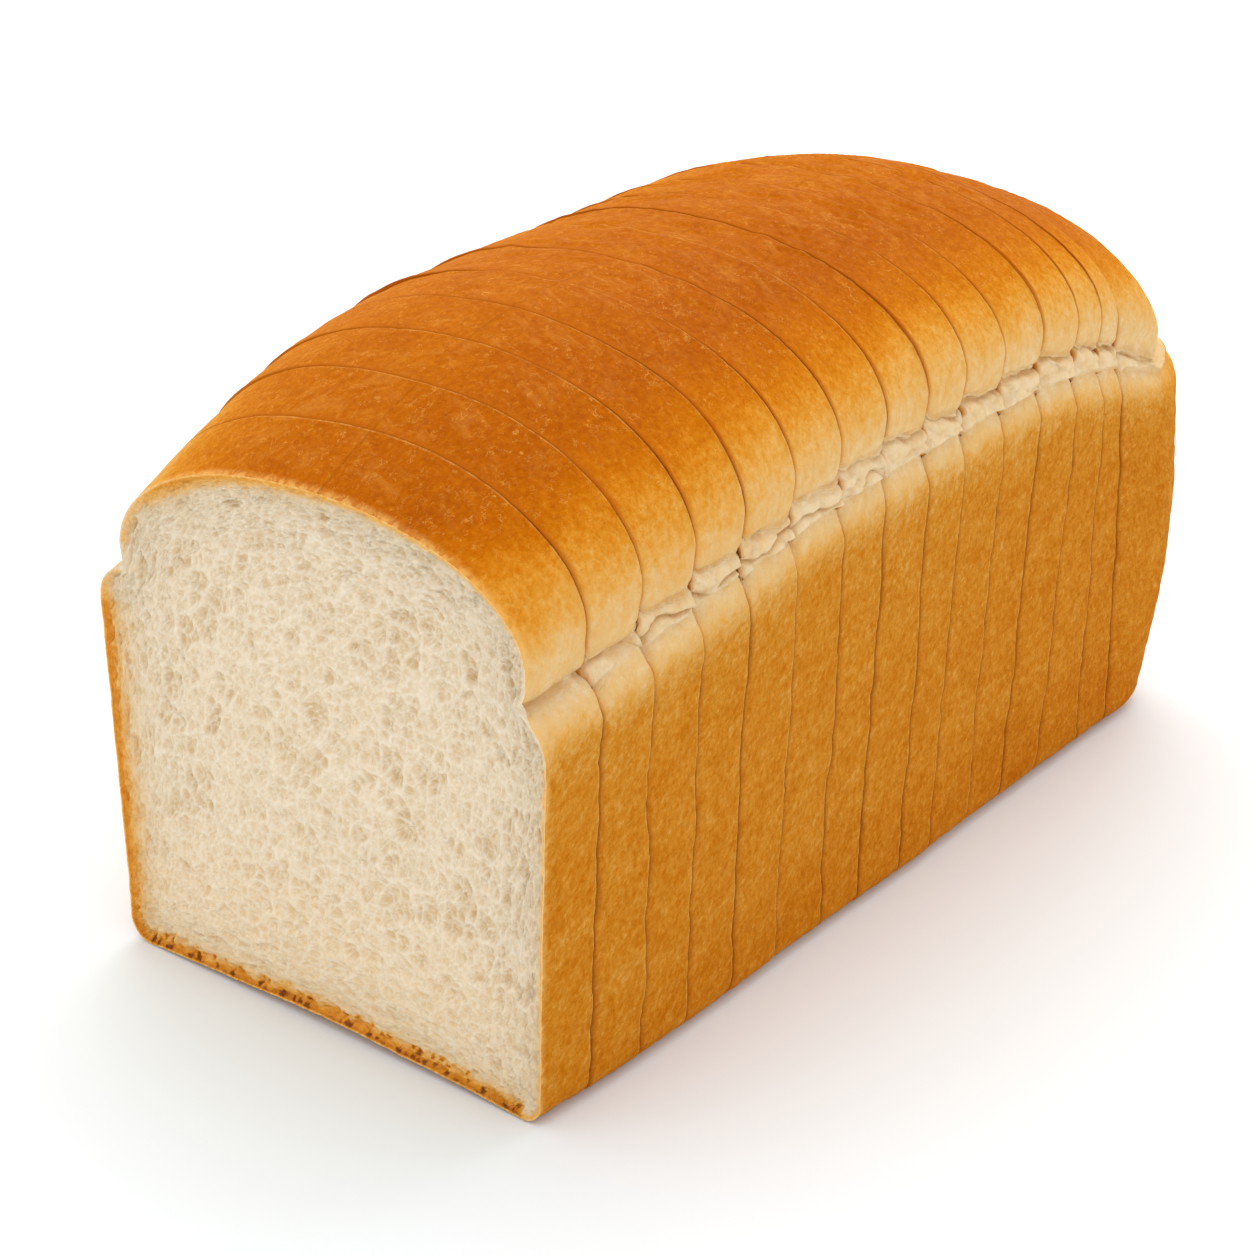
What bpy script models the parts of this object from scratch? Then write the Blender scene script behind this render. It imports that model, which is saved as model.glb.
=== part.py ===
"""A sliced white tin loaf: fourteen slices and a rounded end piece, standing in a row.

Blender 4.5 script, metres, +Z up. The loaf stands on z = 0 with its length along Y: the
open cut face looks to -Y and the round end piece is at +Y. The origin is under its middle.
"""
import math
import random

import bmesh
import bpy

MM = 0.001

# The whole loaf
LOAF_LENGTH = 232 * MM
KERF = 0.3 * MM  # what the slicer's blade took out between two slices
CUT_LEAN_HEIGHT = 50 * MM  # a leaning cut keeps its place at this height
CUT_TURN_X = 40 * MM  # and a turned one this far to the right of the middle

# Each slice's thickness, front to back; the end piece takes what is left of the length
SLICE_THICKNESS = [t * MM for t in (13.6, 13.9, 13.5, 14.0, 15.0, 16.4, 14.3, 14.8, 12.5,
                                    14.3, 14.5, 15.7, 14.5, 12.0)]
# How far the cut behind each slice leans back from upright, in degrees
CUT_LEAN = (1.0, 0.2, 0.4, 0.2, 0.0, -0.5, 0.8, 0.3, 1.0, 1.0, 1.6, 1.2, -2.5, -6.0)
# And how far it is turned about the vertical, right side back
CUT_TURN = (0.6, 0.3, 1.3, 2.0, 2.4, 0.8, -0.5, -0.6, 0.5, 2.0, 1.8, 0.5, 0.5, -3.0)

# The part that baked inside the tin: a wall that opens upward, and a small base radius
BASE_HALF_WIDTH = 55.4 * MM
WALL_HALF_WIDTH = 57.8 * MM  # at WALL_HEIGHT
WALL_HEIGHT = 84 * MM
BASE_RADIUS = 5 * MM
SHOULDER_RISE = 9 * MM

# The break where the dough rose over the tin's rim, and the crown above it
BREAK_HEIGHT = 99.5 * MM
BREAK_INSET = 2.6 * MM  # the break lies this far inside the crown's widest line
LIP_RISE = 5 * MM  # from the break up to the crown's widest line
CROWN_HALF_WIDTH = 56.6 * MM
CROWN_HEIGHT = 134.8 * MM
CROWN_SHIFT = 3.4 * MM  # the crown's ridge lies this far toward +X
LIP_SHIFT_SHARE = 0.1  # and its widest line this share of that
CROWN_SQUARENESS = 2.08  # 2 is an ellipse, more is boxier

# The ends fall away from the middle: by how much, over what length of loaf
FRONT_SPAN = 70 * MM
FRONT_CROWN_FALL = 20.8 * MM
FRONT_CROWN_NARROWING = 6.3 * MM
FRONT_BREAK_SPAN = 130 * MM
FRONT_BREAK_FALL = 15 * MM
FRONT_WALL_SPAN = 40 * MM
FRONT_WALL_NARROWING = 2.0 * MM
FRONT_WALL_SHIFT = -0.9 * MM  # the walls of the first slices lie this far toward +X
FRONT_ARCH = 1.5 * MM  # how far the first slices' underside is bowed up off the ground
BACK_SPAN = 82 * MM
BACK_CROWN_FALL = 26 * MM
BACK_CROWN_NARROWING = 3.5 * MM
BACK_BREAK_FALL = 21 * MM

# The end piece: upright corners, and a crown that is set back and rolls over the end
END_CORNER_RADIUS = 18 * MM
END_CORNER_EXTRA_AT_BASE = 1 * MM
END_CROWN_SET_BACK = 7.5 * MM
END_CROWN_ROLL = 24 * MM
END_SHOULDER_SET_BACK = 5 * MM
END_BASE_TUCK = 2 * MM  # the end wall leans in toward the base

# The slices don't line up perfectly
SLIP_SIDEWAYS = 0.45 * MM
SLIP_CROWN = 0.35 * MM
SLIP_SEED = 11

# How finely each stretch of the outline is divided
BASE_STEPS = 3
RADIUS_STEPS = 4
WALL_STEPS = 5
SHOULDER_STEPS = 4
LIP_STEPS = 3
CROWN_STEPS = 12
SLICE_STEPS = 2
END_SIDE_STEPS = 2
END_CORNER_STEPS = 6

CRUST_COLOUR = (0.62, 0.27, 0.055, 1.0)
CRUST_ROUGHNESS = 0.55


def fall(y, front_span, front_fall, back_fall):
    """How much a height or width has dropped at y, counted from the front cut face."""
    front = max(0.0, 1.0 - y / front_span)
    back = max(0.0, 1.0 - (LOAF_LENGTH - y) / BACK_SPAN)
    return front_fall * front ** 2 + back_fall * back ** 2


def crown_height(y):
    """Height of the crown's ridge at y."""
    return CROWN_HEIGHT - fall(y, FRONT_SPAN, FRONT_CROWN_FALL, BACK_CROWN_FALL)


def crown_half_width(y):
    """Half the crown's widest width at y."""
    return CROWN_HALF_WIDTH - fall(y, FRONT_SPAN, FRONT_CROWN_NARROWING, BACK_CROWN_NARROWING)


def break_height(y):
    """Height of the break at y."""
    return BREAK_HEIGHT - fall(y, FRONT_BREAK_SPAN, FRONT_BREAK_FALL, BACK_BREAK_FALL)


def wall_half_width(z, y):
    """Half the width between the walls at height z, which opens upward like the tin."""
    opening = BASE_HALF_WIDTH + (WALL_HALF_WIDTH - BASE_HALF_WIDTH) * z / WALL_HEIGHT
    return opening - fall(y, FRONT_WALL_SPAN, FRONT_WALL_NARROWING, 0.0)


def arc(steps):
    """Cosine and sine at even steps over a quarter turn, without its start."""
    for i in range(1, steps + 1):
        angle = 0.5 * math.pi * i / steps
        yield math.cos(angle), math.sin(angle)


def half_outline(y):
    """The outline's right half at y, from under the middle up to the ridge.

    Each point is (half width, height, shift to +X, stop), where stop is how far that level
    ends short of the loaf's far end.
    """
    notch_z = break_height(y)
    widest = crown_half_width(y)
    notch = widest - BREAK_INSET
    shoulder_z = notch_z - SHOULDER_RISE
    wall_shift = fall(y, FRONT_WALL_SPAN, FRONT_WALL_SHIFT, 0.0)
    arch = fall(y, FRONT_WALL_SPAN, FRONT_ARCH, 0.0)
    lip_shift = LIP_SHIFT_SHARE * CROWN_SHIFT

    def tuck(z):
        return max(0.0, END_BASE_TUCK * (1.0 - z / WALL_HEIGHT))

    foot = wall_half_width(BASE_RADIUS, y) - BASE_RADIUS
    points = []
    for i in range(1, BASE_STEPS + 1):
        share = i / BASE_STEPS
        points.append((foot * share, arch * (1.0 - share ** 2), wall_shift,
                       tuck(0.0) + BASE_RADIUS))
    for cosine, sine in arc(RADIUS_STEPS):
        z = BASE_RADIUS * (1.0 - cosine)
        points.append((foot + BASE_RADIUS * sine, z, wall_shift,
                       tuck(z) + BASE_RADIUS * (1.0 - sine)))
    for i in range(1, WALL_STEPS + 1):
        z = BASE_RADIUS + (shoulder_z - BASE_RADIUS) * i / WALL_STEPS
        points.append((wall_half_width(z, y), z, wall_shift, tuck(z)))
    wall = wall_half_width(shoulder_z, y)
    for cosine, sine in arc(SHOULDER_STEPS):
        points.append((notch + (wall - notch) * cosine, shoulder_z + SHOULDER_RISE * sine,
                       wall_shift * cosine, END_SHOULDER_SET_BACK * (1.0 - cosine)))
    lip_z = notch_z + LIP_RISE
    for cosine, sine in arc(LIP_STEPS):
        back = END_SHOULDER_SET_BACK + (END_CROWN_SET_BACK - END_SHOULDER_SET_BACK) * sine
        points.append((notch + (widest - notch) * sine, lip_z - LIP_RISE * cosine,
                       lip_shift * sine, back))
    power = 2.0 / CROWN_SQUARENESS
    rise = crown_height(y) - lip_z
    for cosine, sine in arc(CROWN_STEPS):
        up = sine ** power
        points.append((widest * max(0.0, cosine) ** power, lip_z + rise * up,
                       lip_shift + (CROWN_SHIFT - lip_shift) * up, END_CROWN_SET_BACK))
    return points


LEVELS = len(half_outline(LOAF_LENGTH / 2))
RIDGE = LEVELS - 1


def on_loaf(level, side, y):
    """One outline point at y on one side, -1 or 1, in the loaf's own frame."""
    half_width, z, shift, _ = half_outline(y)[level]
    return (side * half_width + shift, y - LOAF_LENGTH / 2, z)


def cut_place(cut, x, z):
    """Where a cut, given as (place, lean, turn), lies along the loaf at x and z."""
    place, lean, turn = cut
    back = math.tan(math.radians(lean)) * (z - CUT_LEAN_HEIGHT)
    return place + back + math.tan(math.radians(turn)) * (x - CUT_TURN_X)


def on_cut(level, side, cut):
    """The outline point where a cut crosses one level of the outline."""
    along = cut[0]
    for _ in range(3):
        x, _, z = on_loaf(level, side, along)
        along = cut_place(cut, x, z)
    return (x, along - LOAF_LENGTH / 2, z)


def outline_ring(cut):
    """The whole outline on one cut, counterclockwise as seen from the front."""
    right = [on_cut(level, 1, cut) for level in range(LEVELS)]
    left = [on_cut(level, -1, cut) for level in range(RIDGE)]
    along = cut_place(cut, 0.0, 0.0)
    middle = (0.0, along - LOAF_LENGTH / 2, fall(along, FRONT_WALL_SPAN, FRONT_ARCH, 0.0))
    return [middle] + right + left[::-1]


def slipped(point, sideways, crown):
    """A point of one slice, moved by that slice's slip; the crown's slip grows upward."""
    x, y, z = point
    return (x + sideways, y, z * (1.0 + crown / CROWN_HEIGHT))


def finish(name, bm, material):
    """Close off a mesh, give it its material and put it in the scene."""
    bmesh.ops.recalc_face_normals(bm, faces=bm.faces)
    mesh = bpy.data.meshes.new(name)
    bm.to_mesh(mesh)
    bm.free()
    mesh.materials.append(material)
    mesh.shade_smooth()
    mesh.set_sharp_from_angle(angle=math.radians(40))
    piece = bpy.data.objects.new(name, mesh)
    bpy.context.scene.collection.objects.link(piece)
    return piece


def make_material(name, colour, roughness):
    """A plain baked finish."""
    material = bpy.data.materials.new(name)
    material.use_nodes = True
    shader = material.node_tree.nodes["Principled BSDF"]
    shader.inputs["Base Color"].default_value = colour
    shader.inputs["Roughness"].default_value = roughness
    shader.inputs["Metallic"].default_value = 0.0
    return material


def make_slice(name, front, back, slip, material):
    """One slice between two cuts, each given as (place, lean, turn)."""
    bm = bmesh.new()
    rings = []
    for i in range(SLICE_STEPS + 1):
        share = i / SLICE_STEPS
        cut = [near + (far - near) * share for near, far in zip(front, back)]
        rings.append([bm.verts.new(slipped(p, *slip)) for p in outline_ring(cut)])
    for near, far in zip(rings[:-1], rings[1:]):
        for i in range(len(near)):
            j = (i + 1) % len(near)
            bm.faces.new((near[i], near[j], far[j], far[i]))
    bm.faces.new(rings[0])
    bm.faces.new(rings[-1])
    return finish(name, bm, material)


def end_corner(height):
    """Radius of the end piece's upright corners, which are rounder near the base."""
    return END_CORNER_RADIUS + END_CORNER_EXTRA_AT_BASE * max(0.0, 1.0 - height / WALL_HEIGHT)


def side_stations(half_width, start, end, corner):
    """Places (x, y) along one side from the cut, then round the corner to the end wall."""
    straight = end - corner - start
    stations = [(half_width, start + straight * i / END_SIDE_STEPS)
                for i in range(END_SIDE_STEPS + 1)]
    for cosine, sine in arc(END_CORNER_STEPS):
        stations.append((half_width - corner * (1.0 - cosine), end - corner * (1.0 - sine)))
    return stations


def crown_section():
    """Shares (across, up) of the crown's outline from its right lip over to its left."""
    power = 2.0 / CROWN_SQUARENESS
    quarter = [(max(0.0, cosine) ** power, sine ** power) for cosine, sine in arc(CROWN_STEPS)]
    right = [(1.0, 0.0)] + quarter
    return right + [(-across, up) for across, up in right[-2::-1]]


def end_row(level, cut):
    """Places round the end piece at one level up to the lip, right side to left side."""
    end = LOAF_LENGTH - half_outline(LOAF_LENGTH)[level][3]
    sides = []
    for side in (1, -1):
        _, along, z = on_cut(level, side, cut)
        start = along + LOAF_LENGTH / 2
        half_width = half_outline(start)[level][0]
        corner = min(end_corner(z), half_width)
        sides.append([(side * x, y) for x, y in side_stations(half_width, start, end, corner)])
    right_x, left_x = sides[0][-1][0], sides[1][-1][0]
    middle = 0.5 * (right_x + left_x)
    across = [(middle + (right_x - middle) * share, end) for share, _ in crown_section()[1:-1]]
    row = []
    for x, y in sides[0] + across + sides[1][::-1]:
        _, z, shift, _ = half_outline(y)[level]
        row.append((x + shift, y - LOAF_LENGTH / 2, z))
    return row


def crown_roll(y):
    """Share of the crown's rise that is left at y, as it rolls over the far end."""
    end = LOAF_LENGTH - END_CROWN_SET_BACK
    into = min(1.0, max(0.0, 1.0 - (end - y) / END_CROWN_ROLL))
    return math.sqrt(1.0 - into ** 2)


def crown_rows(lip_row, cut):
    """The crown over the end piece: one outline from lip to lip at each side station."""
    rows = []
    for i in range(END_SIDE_STEPS + END_CORNER_STEPS + 1):
        right = lip_row[i]
        left = lip_row[-1 - i]
        middle = 0.5 * (right[0] + left[0])
        row = []
        for across, up in crown_section():
            share = 0.5 + 0.5 * across
            y = left[1] + (right[1] - left[1]) * share + LOAF_LENGTH / 2
            lip_z = left[2] + (right[2] - left[2]) * share
            for _ in range(3):
                rolled = up * crown_roll(y)
                z = lip_z + (crown_height(y) - break_height(y) - LIP_RISE) * rolled
                leans_over = (1.0 - LIP_SHIFT_SHARE) * CROWN_SHIFT * rolled
                x = middle + (right[0] - middle) * across + leans_over
                if i == 0:
                    y = cut_place(cut, x, z)
            row.append((x, y - LOAF_LENGTH / 2, z))
        rows.append(row)
    return rows


def make_end_piece(name, cut, slip, material):
    """The round end piece: its walls run round the loaf's far end, and the crown caps them."""
    bm = bmesh.new()
    lip = LEVELS - 1 - CROWN_STEPS
    places = [end_row(level, cut) for level in range(lip + 1)]
    rows = [[bm.verts.new(slipped(p, *slip)) for p in row] for row in places]
    for lower, upper in zip(rows[:-1], rows[1:]):
        for i in range(len(lower) - 1):
            bm.faces.new((lower[i], lower[i + 1], upper[i + 1], upper[i]))
    crown = [[bm.verts.new(slipped(p, *slip)) for p in row]
             for row in crown_rows(places[lip], cut)]
    for near, far in zip(crown[:-1], crown[1:]):
        for i in range(len(near) - 1):
            bm.faces.new((near[i], far[i], far[i + 1], near[i + 1]))
    bm.faces.new(rows[0])
    right_side = [row[0] for row in rows]
    left_side = [row[-1] for row in rows[::-1]]
    bm.faces.new(right_side[:-1] + crown[0] + left_side[1:])
    bmesh.ops.remove_doubles(bm, verts=bm.verts, dist=0.01 * MM)
    return finish(name, bm, material)


def stand_on_origin(pieces):
    """Move the whole row of pieces so that the origin is under the middle of its box."""
    corners = [vertex.co for piece in pieces for vertex in piece.data.vertices]
    lows, highs = zip(*[(min(places), max(places)) for places in zip(*corners)])
    middle = [0.5 * (low + high) for low, high in zip(lows, highs)]
    for piece in pieces:
        piece.location = (-middle[0], -middle[1], -lows[2])


def main():
    """Clear the scene and build the slices from the front to the end piece."""
    for old in list(bpy.data.objects):
        bpy.data.objects.remove(old, do_unlink=True)
    slips = random.Random(SLIP_SEED)

    def next_slip():
        return (slips.uniform(-1, 1) * SLIP_SIDEWAYS, slips.uniform(-1, 1) * SLIP_CROWN)

    pieces = []
    front = (0.0, 0.0, 0.0)
    for number, thickness in enumerate(SLICE_THICKNESS, start=1):
        cut = (front[0] + thickness, CUT_LEAN[number - 1], CUT_TURN[number - 1])
        back = (cut[0] - KERF, cut[1], cut[2])
        crust = make_material(f"crust_{number:02d}", CRUST_COLOUR, CRUST_ROUGHNESS)
        pieces.append(make_slice(f"slice_{number:02d}", front, back, next_slip(), crust))
        front = cut
    crust = make_material("crust_end", CRUST_COLOUR, CRUST_ROUGHNESS)
    pieces.append(make_end_piece("end_slice", front, next_slip(), crust))
    stand_on_origin(pieces)


main()
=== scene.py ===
"""A sliced white tin loaf, finished as it comes from the oven and the slicer.

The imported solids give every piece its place. Each slice and the end piece is modelled
afresh as a skin of crust with its cut faces, fine enough for the torn break, the slicer's
wavy cuts and the pores of the open cut face. Sizes are in millimetres.
"""

import logging
import math
from dataclasses import dataclass, field
from enum import IntEnum
from typing import Sequence

import bpy
import numpy as np
from mathutils import Matrix, Vector, kdtree


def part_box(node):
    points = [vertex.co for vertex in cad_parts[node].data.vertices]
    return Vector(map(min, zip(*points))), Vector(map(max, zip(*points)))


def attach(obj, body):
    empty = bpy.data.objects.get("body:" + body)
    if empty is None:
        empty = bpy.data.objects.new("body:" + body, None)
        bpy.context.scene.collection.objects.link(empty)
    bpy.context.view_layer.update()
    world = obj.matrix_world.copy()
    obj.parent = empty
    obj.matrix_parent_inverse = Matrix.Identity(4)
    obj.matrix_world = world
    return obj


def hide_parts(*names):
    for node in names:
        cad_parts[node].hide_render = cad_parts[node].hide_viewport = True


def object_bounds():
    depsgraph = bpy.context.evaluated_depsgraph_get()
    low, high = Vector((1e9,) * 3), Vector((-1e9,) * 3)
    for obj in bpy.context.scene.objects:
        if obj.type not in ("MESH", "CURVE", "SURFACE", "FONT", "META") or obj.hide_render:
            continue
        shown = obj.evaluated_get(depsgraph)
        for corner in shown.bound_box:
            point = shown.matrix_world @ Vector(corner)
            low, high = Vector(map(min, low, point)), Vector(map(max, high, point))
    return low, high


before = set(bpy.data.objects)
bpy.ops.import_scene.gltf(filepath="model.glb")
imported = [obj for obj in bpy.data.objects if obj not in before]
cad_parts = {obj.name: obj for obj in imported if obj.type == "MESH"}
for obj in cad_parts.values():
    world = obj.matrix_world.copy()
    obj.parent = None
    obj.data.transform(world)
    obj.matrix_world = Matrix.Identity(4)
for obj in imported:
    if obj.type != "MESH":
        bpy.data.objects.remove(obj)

MM = 0.001
LOG = logging.getLogger("tin_loaf")
CAD_BOX = [list(corner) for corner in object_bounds()]
FRONT_Y = CAD_BOX[0][1] / MM + 0.01  # the open cut face, just inside the solid's front
FAR_OFF = 50.0  # a distance at which no rim is felt any more
Array = np.ndarray


# --- small tools ---------------------------------------------------------------------


def smooth(values: Array, low: float, high: float) -> Array:
    """Ease from 0 at low to 1 at high."""
    share = np.clip((values - low) / (high - low), 0.0, 1.0)
    return share * share * (3.0 - 2.0 * share)


def corner_draws(x: Array, y: Array, z: Array, seed: int) -> Array:
    """Repeatable draws from -1 to 1 for whole-number lattice corners.

    Args:
        x, y, z: The corners' whole numbers.
        seed: Picks the pattern.

    Returns:
        One draw for each corner.
    """
    mask = 0xFFFFFFFF
    mixed = (x * 374761393 + y * 668265263 + z * 2147483647 + seed * 974634777) & mask
    mixed = ((mixed ^ (mixed >> 13)) * 1274126177) & mask
    mixed = ((mixed ^ (mixed >> 15)) * 2246822519) & mask
    return ((mixed ^ (mixed >> 16)) & 0xFFFF) / 32767.5 - 1.0


def grain(points: Array, size: float | Sequence[float], seed: int) -> Array:
    """Smooth uneven relief from -1 to 1.

    Args:
        points: Places in millimetres, one row of three for each.
        size: The grain's size, alike all round or one for each axis.
        seed: Picks the pattern.

    Returns:
        One value for each point.
    """
    cells = points / np.asarray(size, float)
    low = np.floor(cells).astype(np.int64)
    part = cells - low
    part = part * part * part * (part * (part * 6.0 - 15.0) + 10.0)
    total = np.zeros(len(points))
    for dx in (0, 1):
        for dy in (0, 1):
            for dz in (0, 1):
                weight = np.abs(1 - dx - part[:, 0]) * np.abs(1 - dy - part[:, 1])
                weight *= np.abs(1 - dz - part[:, 2])
                total += weight * corner_draws(low[:, 0] + dx, low[:, 1] + dy, low[:, 2] + dz,
                                               seed)
    return total


def kinked(places: Array, spacing: float, seed: int) -> Array:
    """An uneven line of straight runs between kinks, from -1 to 1.

    Args:
        places: Places along the line.
        spacing: About how far apart the kinks are.
        seed: Picks the pattern.

    Returns:
        One value for each place.
    """
    cells = places / spacing
    low = np.floor(cells).astype(np.int64)
    part = cells - low
    zero = np.zeros_like(low)
    return (corner_draws(low, zero, zero, seed) * (1.0 - part)
            + corner_draws(low + 1, zero, zero, seed) * part)


def packed_cells(places: Array, seed: int) -> tuple[Array, Array, Array]:
    """Cells grown round scattered seeds about one unit apart, as in a foam.

    Args:
        places: Points in units of the cells' size, one row of two for each.
        seed: Picks the pattern.

    Returns:
        How far each place is from its cell's edge, a draw from 0 to 1 for its cell, and how
        far it is from its cell's seed.
    """
    low = np.floor(places).astype(np.int64)
    nearest = np.full(len(places), 9.0)
    second = np.full(len(places), 9.0)
    draw = np.zeros(len(places))
    zero = np.zeros(len(places), np.int64)
    for dx in (-1, 0, 1):
        for dy in (-1, 0, 1):
            i, j = low[:, 0] + dx, low[:, 1] + dy
            across = i + 0.5 + 0.45 * corner_draws(i, j, zero, seed) - places[:, 0]
            up = j + 0.5 + 0.45 * corner_draws(i, j, zero, seed + 1) - places[:, 1]
            distance = np.hypot(across, up)
            closer = distance < nearest
            second = np.where(closer, nearest, np.minimum(second, distance))
            own = 0.5 + 0.5 * corner_draws(i, j, zero, seed + 2)
            draw = np.where(closer, own, draw)
            nearest = np.where(closer, distance, nearest)
    return second - nearest, draw, nearest


def srgb(code: str) -> tuple[float, float, float, float]:
    """Linear colour of a hex code such as "d9862b".

    Args:
        code: The colour's hex code.

    Returns:
        Linear red, green, blue and alpha.
    """
    parts = [int(code[i:i + 2], 16) / 255.0 for i in (0, 2, 4)]
    line = [c / 12.92 if c <= 0.04045 else ((c + 0.055) / 1.055) ** 2.4 for c in parts]
    return (line[0], line[1], line[2], 1.0)


# --- the loaf's form -----------------------------------------------------------------


class Stretch(IntEnum):
    """The stretches of the outline, from under the middle up to the ridge."""

    BASE = 0
    CORNER = 1
    WALL = 2
    SHOULDER = 3
    TORN = 4
    LIP = 5
    CROWN = 6


@dataclass(frozen=True)
class LoafForm:
    """The outline of the loaf at each place along it, counted from its open cut face."""

    length: float = 232.0
    base_half_width: float = 55.4
    wall_half_width: float = 57.8
    wall_height: float = 84.0
    base_radius: float = 5.0
    shoulder_rise: float = 9.0
    shoulder_end: float = 75.0  # degrees round the shoulder's quarter where the tear starts
    break_height: float = 99.5
    break_inset: float = 2.6
    lip_rise: float = 5.0
    least_lip_rise: float = 2.2
    crown_half_width: float = 56.6
    crown_height: float = 134.8
    crown_shift: float = 3.4
    lip_shift_share: float = 0.1
    crown_squareness: float = 2.08
    front_span: float = 70.0
    front_crown_fall: float = 20.8
    front_crown_narrowing: float = 6.3
    front_break_span: float = 130.0
    front_break_fall: float = 15.0
    front_wall_span: float = 40.0
    front_wall_narrowing: float = 1.5
    front_wall_shift: float = -0.9
    front_arch: float = 1.5
    back_span: float = 82.0
    back_crown_fall: float = 26.0
    back_crown_narrowing: float = 3.5
    back_break_fall: float = 21.0
    end_corner_radius: float = 18.0
    end_corner_extra: float = 1.0
    end_crown_set_back: float = 7.5
    end_crown_roll: float = 19.0
    end_shoulder_set_back: float = 5.0
    end_base_tuck: float = 2.0
    end_break_rise: float = 8.0  # the break climbs as it rounds the far corner
    end_corner_bulge: float = 5.5
    end_wall_bulge: float = 1.1
    end_notch_fill: float = 1.9

    def fall(self, along: Array, span: float, front: float, back: float = 0.0) -> Array:
        """How much a height or a width has dropped toward either end.

        Args:
            along: Places along the loaf.
            span: How far in from the front the drop is gone.
            front: The drop at the front.
            back: The drop at the far end.

        Returns:
            The drop at each place.
        """
        near = np.maximum(0.0, 1.0 - along / span)
        far = np.maximum(0.0, 1.0 - (self.length - along) / self.back_span)
        return front * near ** 2 + back * far ** 2

    def crown_top(self, along: Array) -> Array:
        """Height of the crown's ridge."""
        return self.crown_height - self.fall(
            along, self.front_span, self.front_crown_fall, self.back_crown_fall)

    def crown_half(self, along: Array) -> Array:
        """Half the crown's widest width."""
        return self.crown_half_width - self.fall(
            along, self.front_span, self.front_crown_narrowing, self.back_crown_narrowing)

    def break_top(self, along: Array) -> Array:
        """Height of the break below the crown.

        Args:
            along: Places along the loaf.

        Returns:
            The height at each place.
        """
        climb = self.end_break_rise * smooth(along, self.length - 20.0, self.length - 3.0)
        return self.break_height + climb - self.fall(
            along, self.front_break_span, self.front_break_fall, self.back_break_fall)

    def wall_half(self, height: Array, along: Array) -> Array:
        """Half the width between the walls, which open upward like the tin.

        Args:
            height: Heights on the wall.
            along: Places along the loaf.

        Returns:
            The half width at each.
        """
        opening = self.wall_half_width - self.base_half_width
        narrowing = self.fall(along, self.front_wall_span, self.front_wall_narrowing)
        return self.base_half_width + opening * height / self.wall_height - narrowing

    def crown_curve(self, share: Array) -> tuple[Array, Array]:
        """Shares (across, up) of the crown's outline, lip to ridge.

        Args:
            share: How far each point is from the lip to the ridge.

        Returns:
            Shares of the half width and of the rise.
        """
        angle = 0.5 * np.pi * share
        power = 2.0 / self.crown_squareness
        return np.maximum(0.0, np.cos(angle)) ** power, np.sin(angle) ** power

    def lip_height(self, along: Array, lift: Array) -> tuple[Array, Array]:
        """The lip's height and its own rise, when the tear has lifted it."""
        rise = np.maximum(self.least_lip_rise, self.lip_rise - 0.6 * lift)
        return self.break_top(along) + lift + rise, rise

    def section(self, stretch: Array, share: Array, along: Array,
                lift: Array) -> tuple[Array, Array, Array, Array]:
        """The right half of the outline.

        Args:
            stretch: Which stretch of the outline each row of points is in.
            share: How far along its stretch each row is.
            along: Each point's place along the loaf.
            lift: How far the tear has lifted the crown there.

        Returns:
            Half width, height, shift to +X, and how far that level ends short of the far end.
        """
        half, height = np.zeros_like(along), np.zeros_like(along)
        shift, stop = np.zeros_like(along), np.zeros_like(along)
        notch_z = self.break_top(along)
        widest = self.crown_half(along)
        notch = widest - self.break_inset
        shoulder_z = notch_z - self.shoulder_rise
        wall_shift = self.fall(along, self.front_wall_span, self.front_wall_shift)
        lip_shift = self.lip_shift_share * self.crown_shift
        foot = self.wall_half(np.full_like(along, self.base_radius), along) - self.base_radius

        def tuck(z: Array) -> Array:
            """How far the end wall is tucked in at each height."""
            return np.maximum(0.0, self.end_base_tuck * (1.0 - z / self.wall_height))

        def shoulder(angle: Array, rows: Array) -> tuple[Array, Array]:
            """Half width and height round the shoulder.

            Args:
                angle: How far round, from the wall up.
                rows: The rows of points it is worked out for.

            Returns:
                Half width and height at each.
            """
            wall = self.wall_half(shoulder_z[rows], along[rows])
            return (notch[rows] + (wall - notch[rows]) * np.cos(angle),
                    shoulder_z[rows] + self.shoulder_rise * np.sin(angle))

        for part in Stretch:
            rows = stretch == part
            if not rows.any():
                continue
            s = share[rows][:, None] * np.ones_like(along[rows])
            quarter = 0.5 * np.pi * s
            shift[rows] = wall_shift[rows]
            if part is Stretch.BASE:
                arch = self.fall(along[rows], self.front_wall_span, self.front_arch)
                half[rows] = foot[rows] * s
                height[rows] = arch * (1.0 - s ** 2)
                stop[rows] = tuck(0.0 * s) + self.base_radius
            elif part is Stretch.CORNER:
                height[rows] = self.base_radius * (1.0 - np.cos(quarter))
                half[rows] = foot[rows] + self.base_radius * np.sin(quarter)
                stop[rows] = tuck(height[rows]) + self.base_radius * (1.0 - np.sin(quarter))
            elif part is Stretch.WALL:
                height[rows] = self.base_radius + (shoulder_z[rows] - self.base_radius) * s
                half[rows] = self.wall_half(height[rows], along[rows])
                stop[rows] = tuck(height[rows])
            elif part is Stretch.SHOULDER:
                angle = np.radians(self.shoulder_end) * s
                half[rows], height[rows] = shoulder(angle, rows)
                shift[rows] *= np.cos(angle)
                stop[rows] = self.end_shoulder_set_back * (1.0 - np.cos(angle))
            elif part is Stretch.TORN:
                start = np.radians(self.shoulder_end)
                low_half, low_height = shoulder(np.full_like(s, start), rows)
                half[rows] = low_half + (notch[rows] - low_half) * s
                height[rows] = low_height + (notch_z[rows] + lift[rows] - low_height) * s
                shift[rows] *= math.cos(start) * (1.0 - s)
                back = self.end_shoulder_set_back
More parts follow.
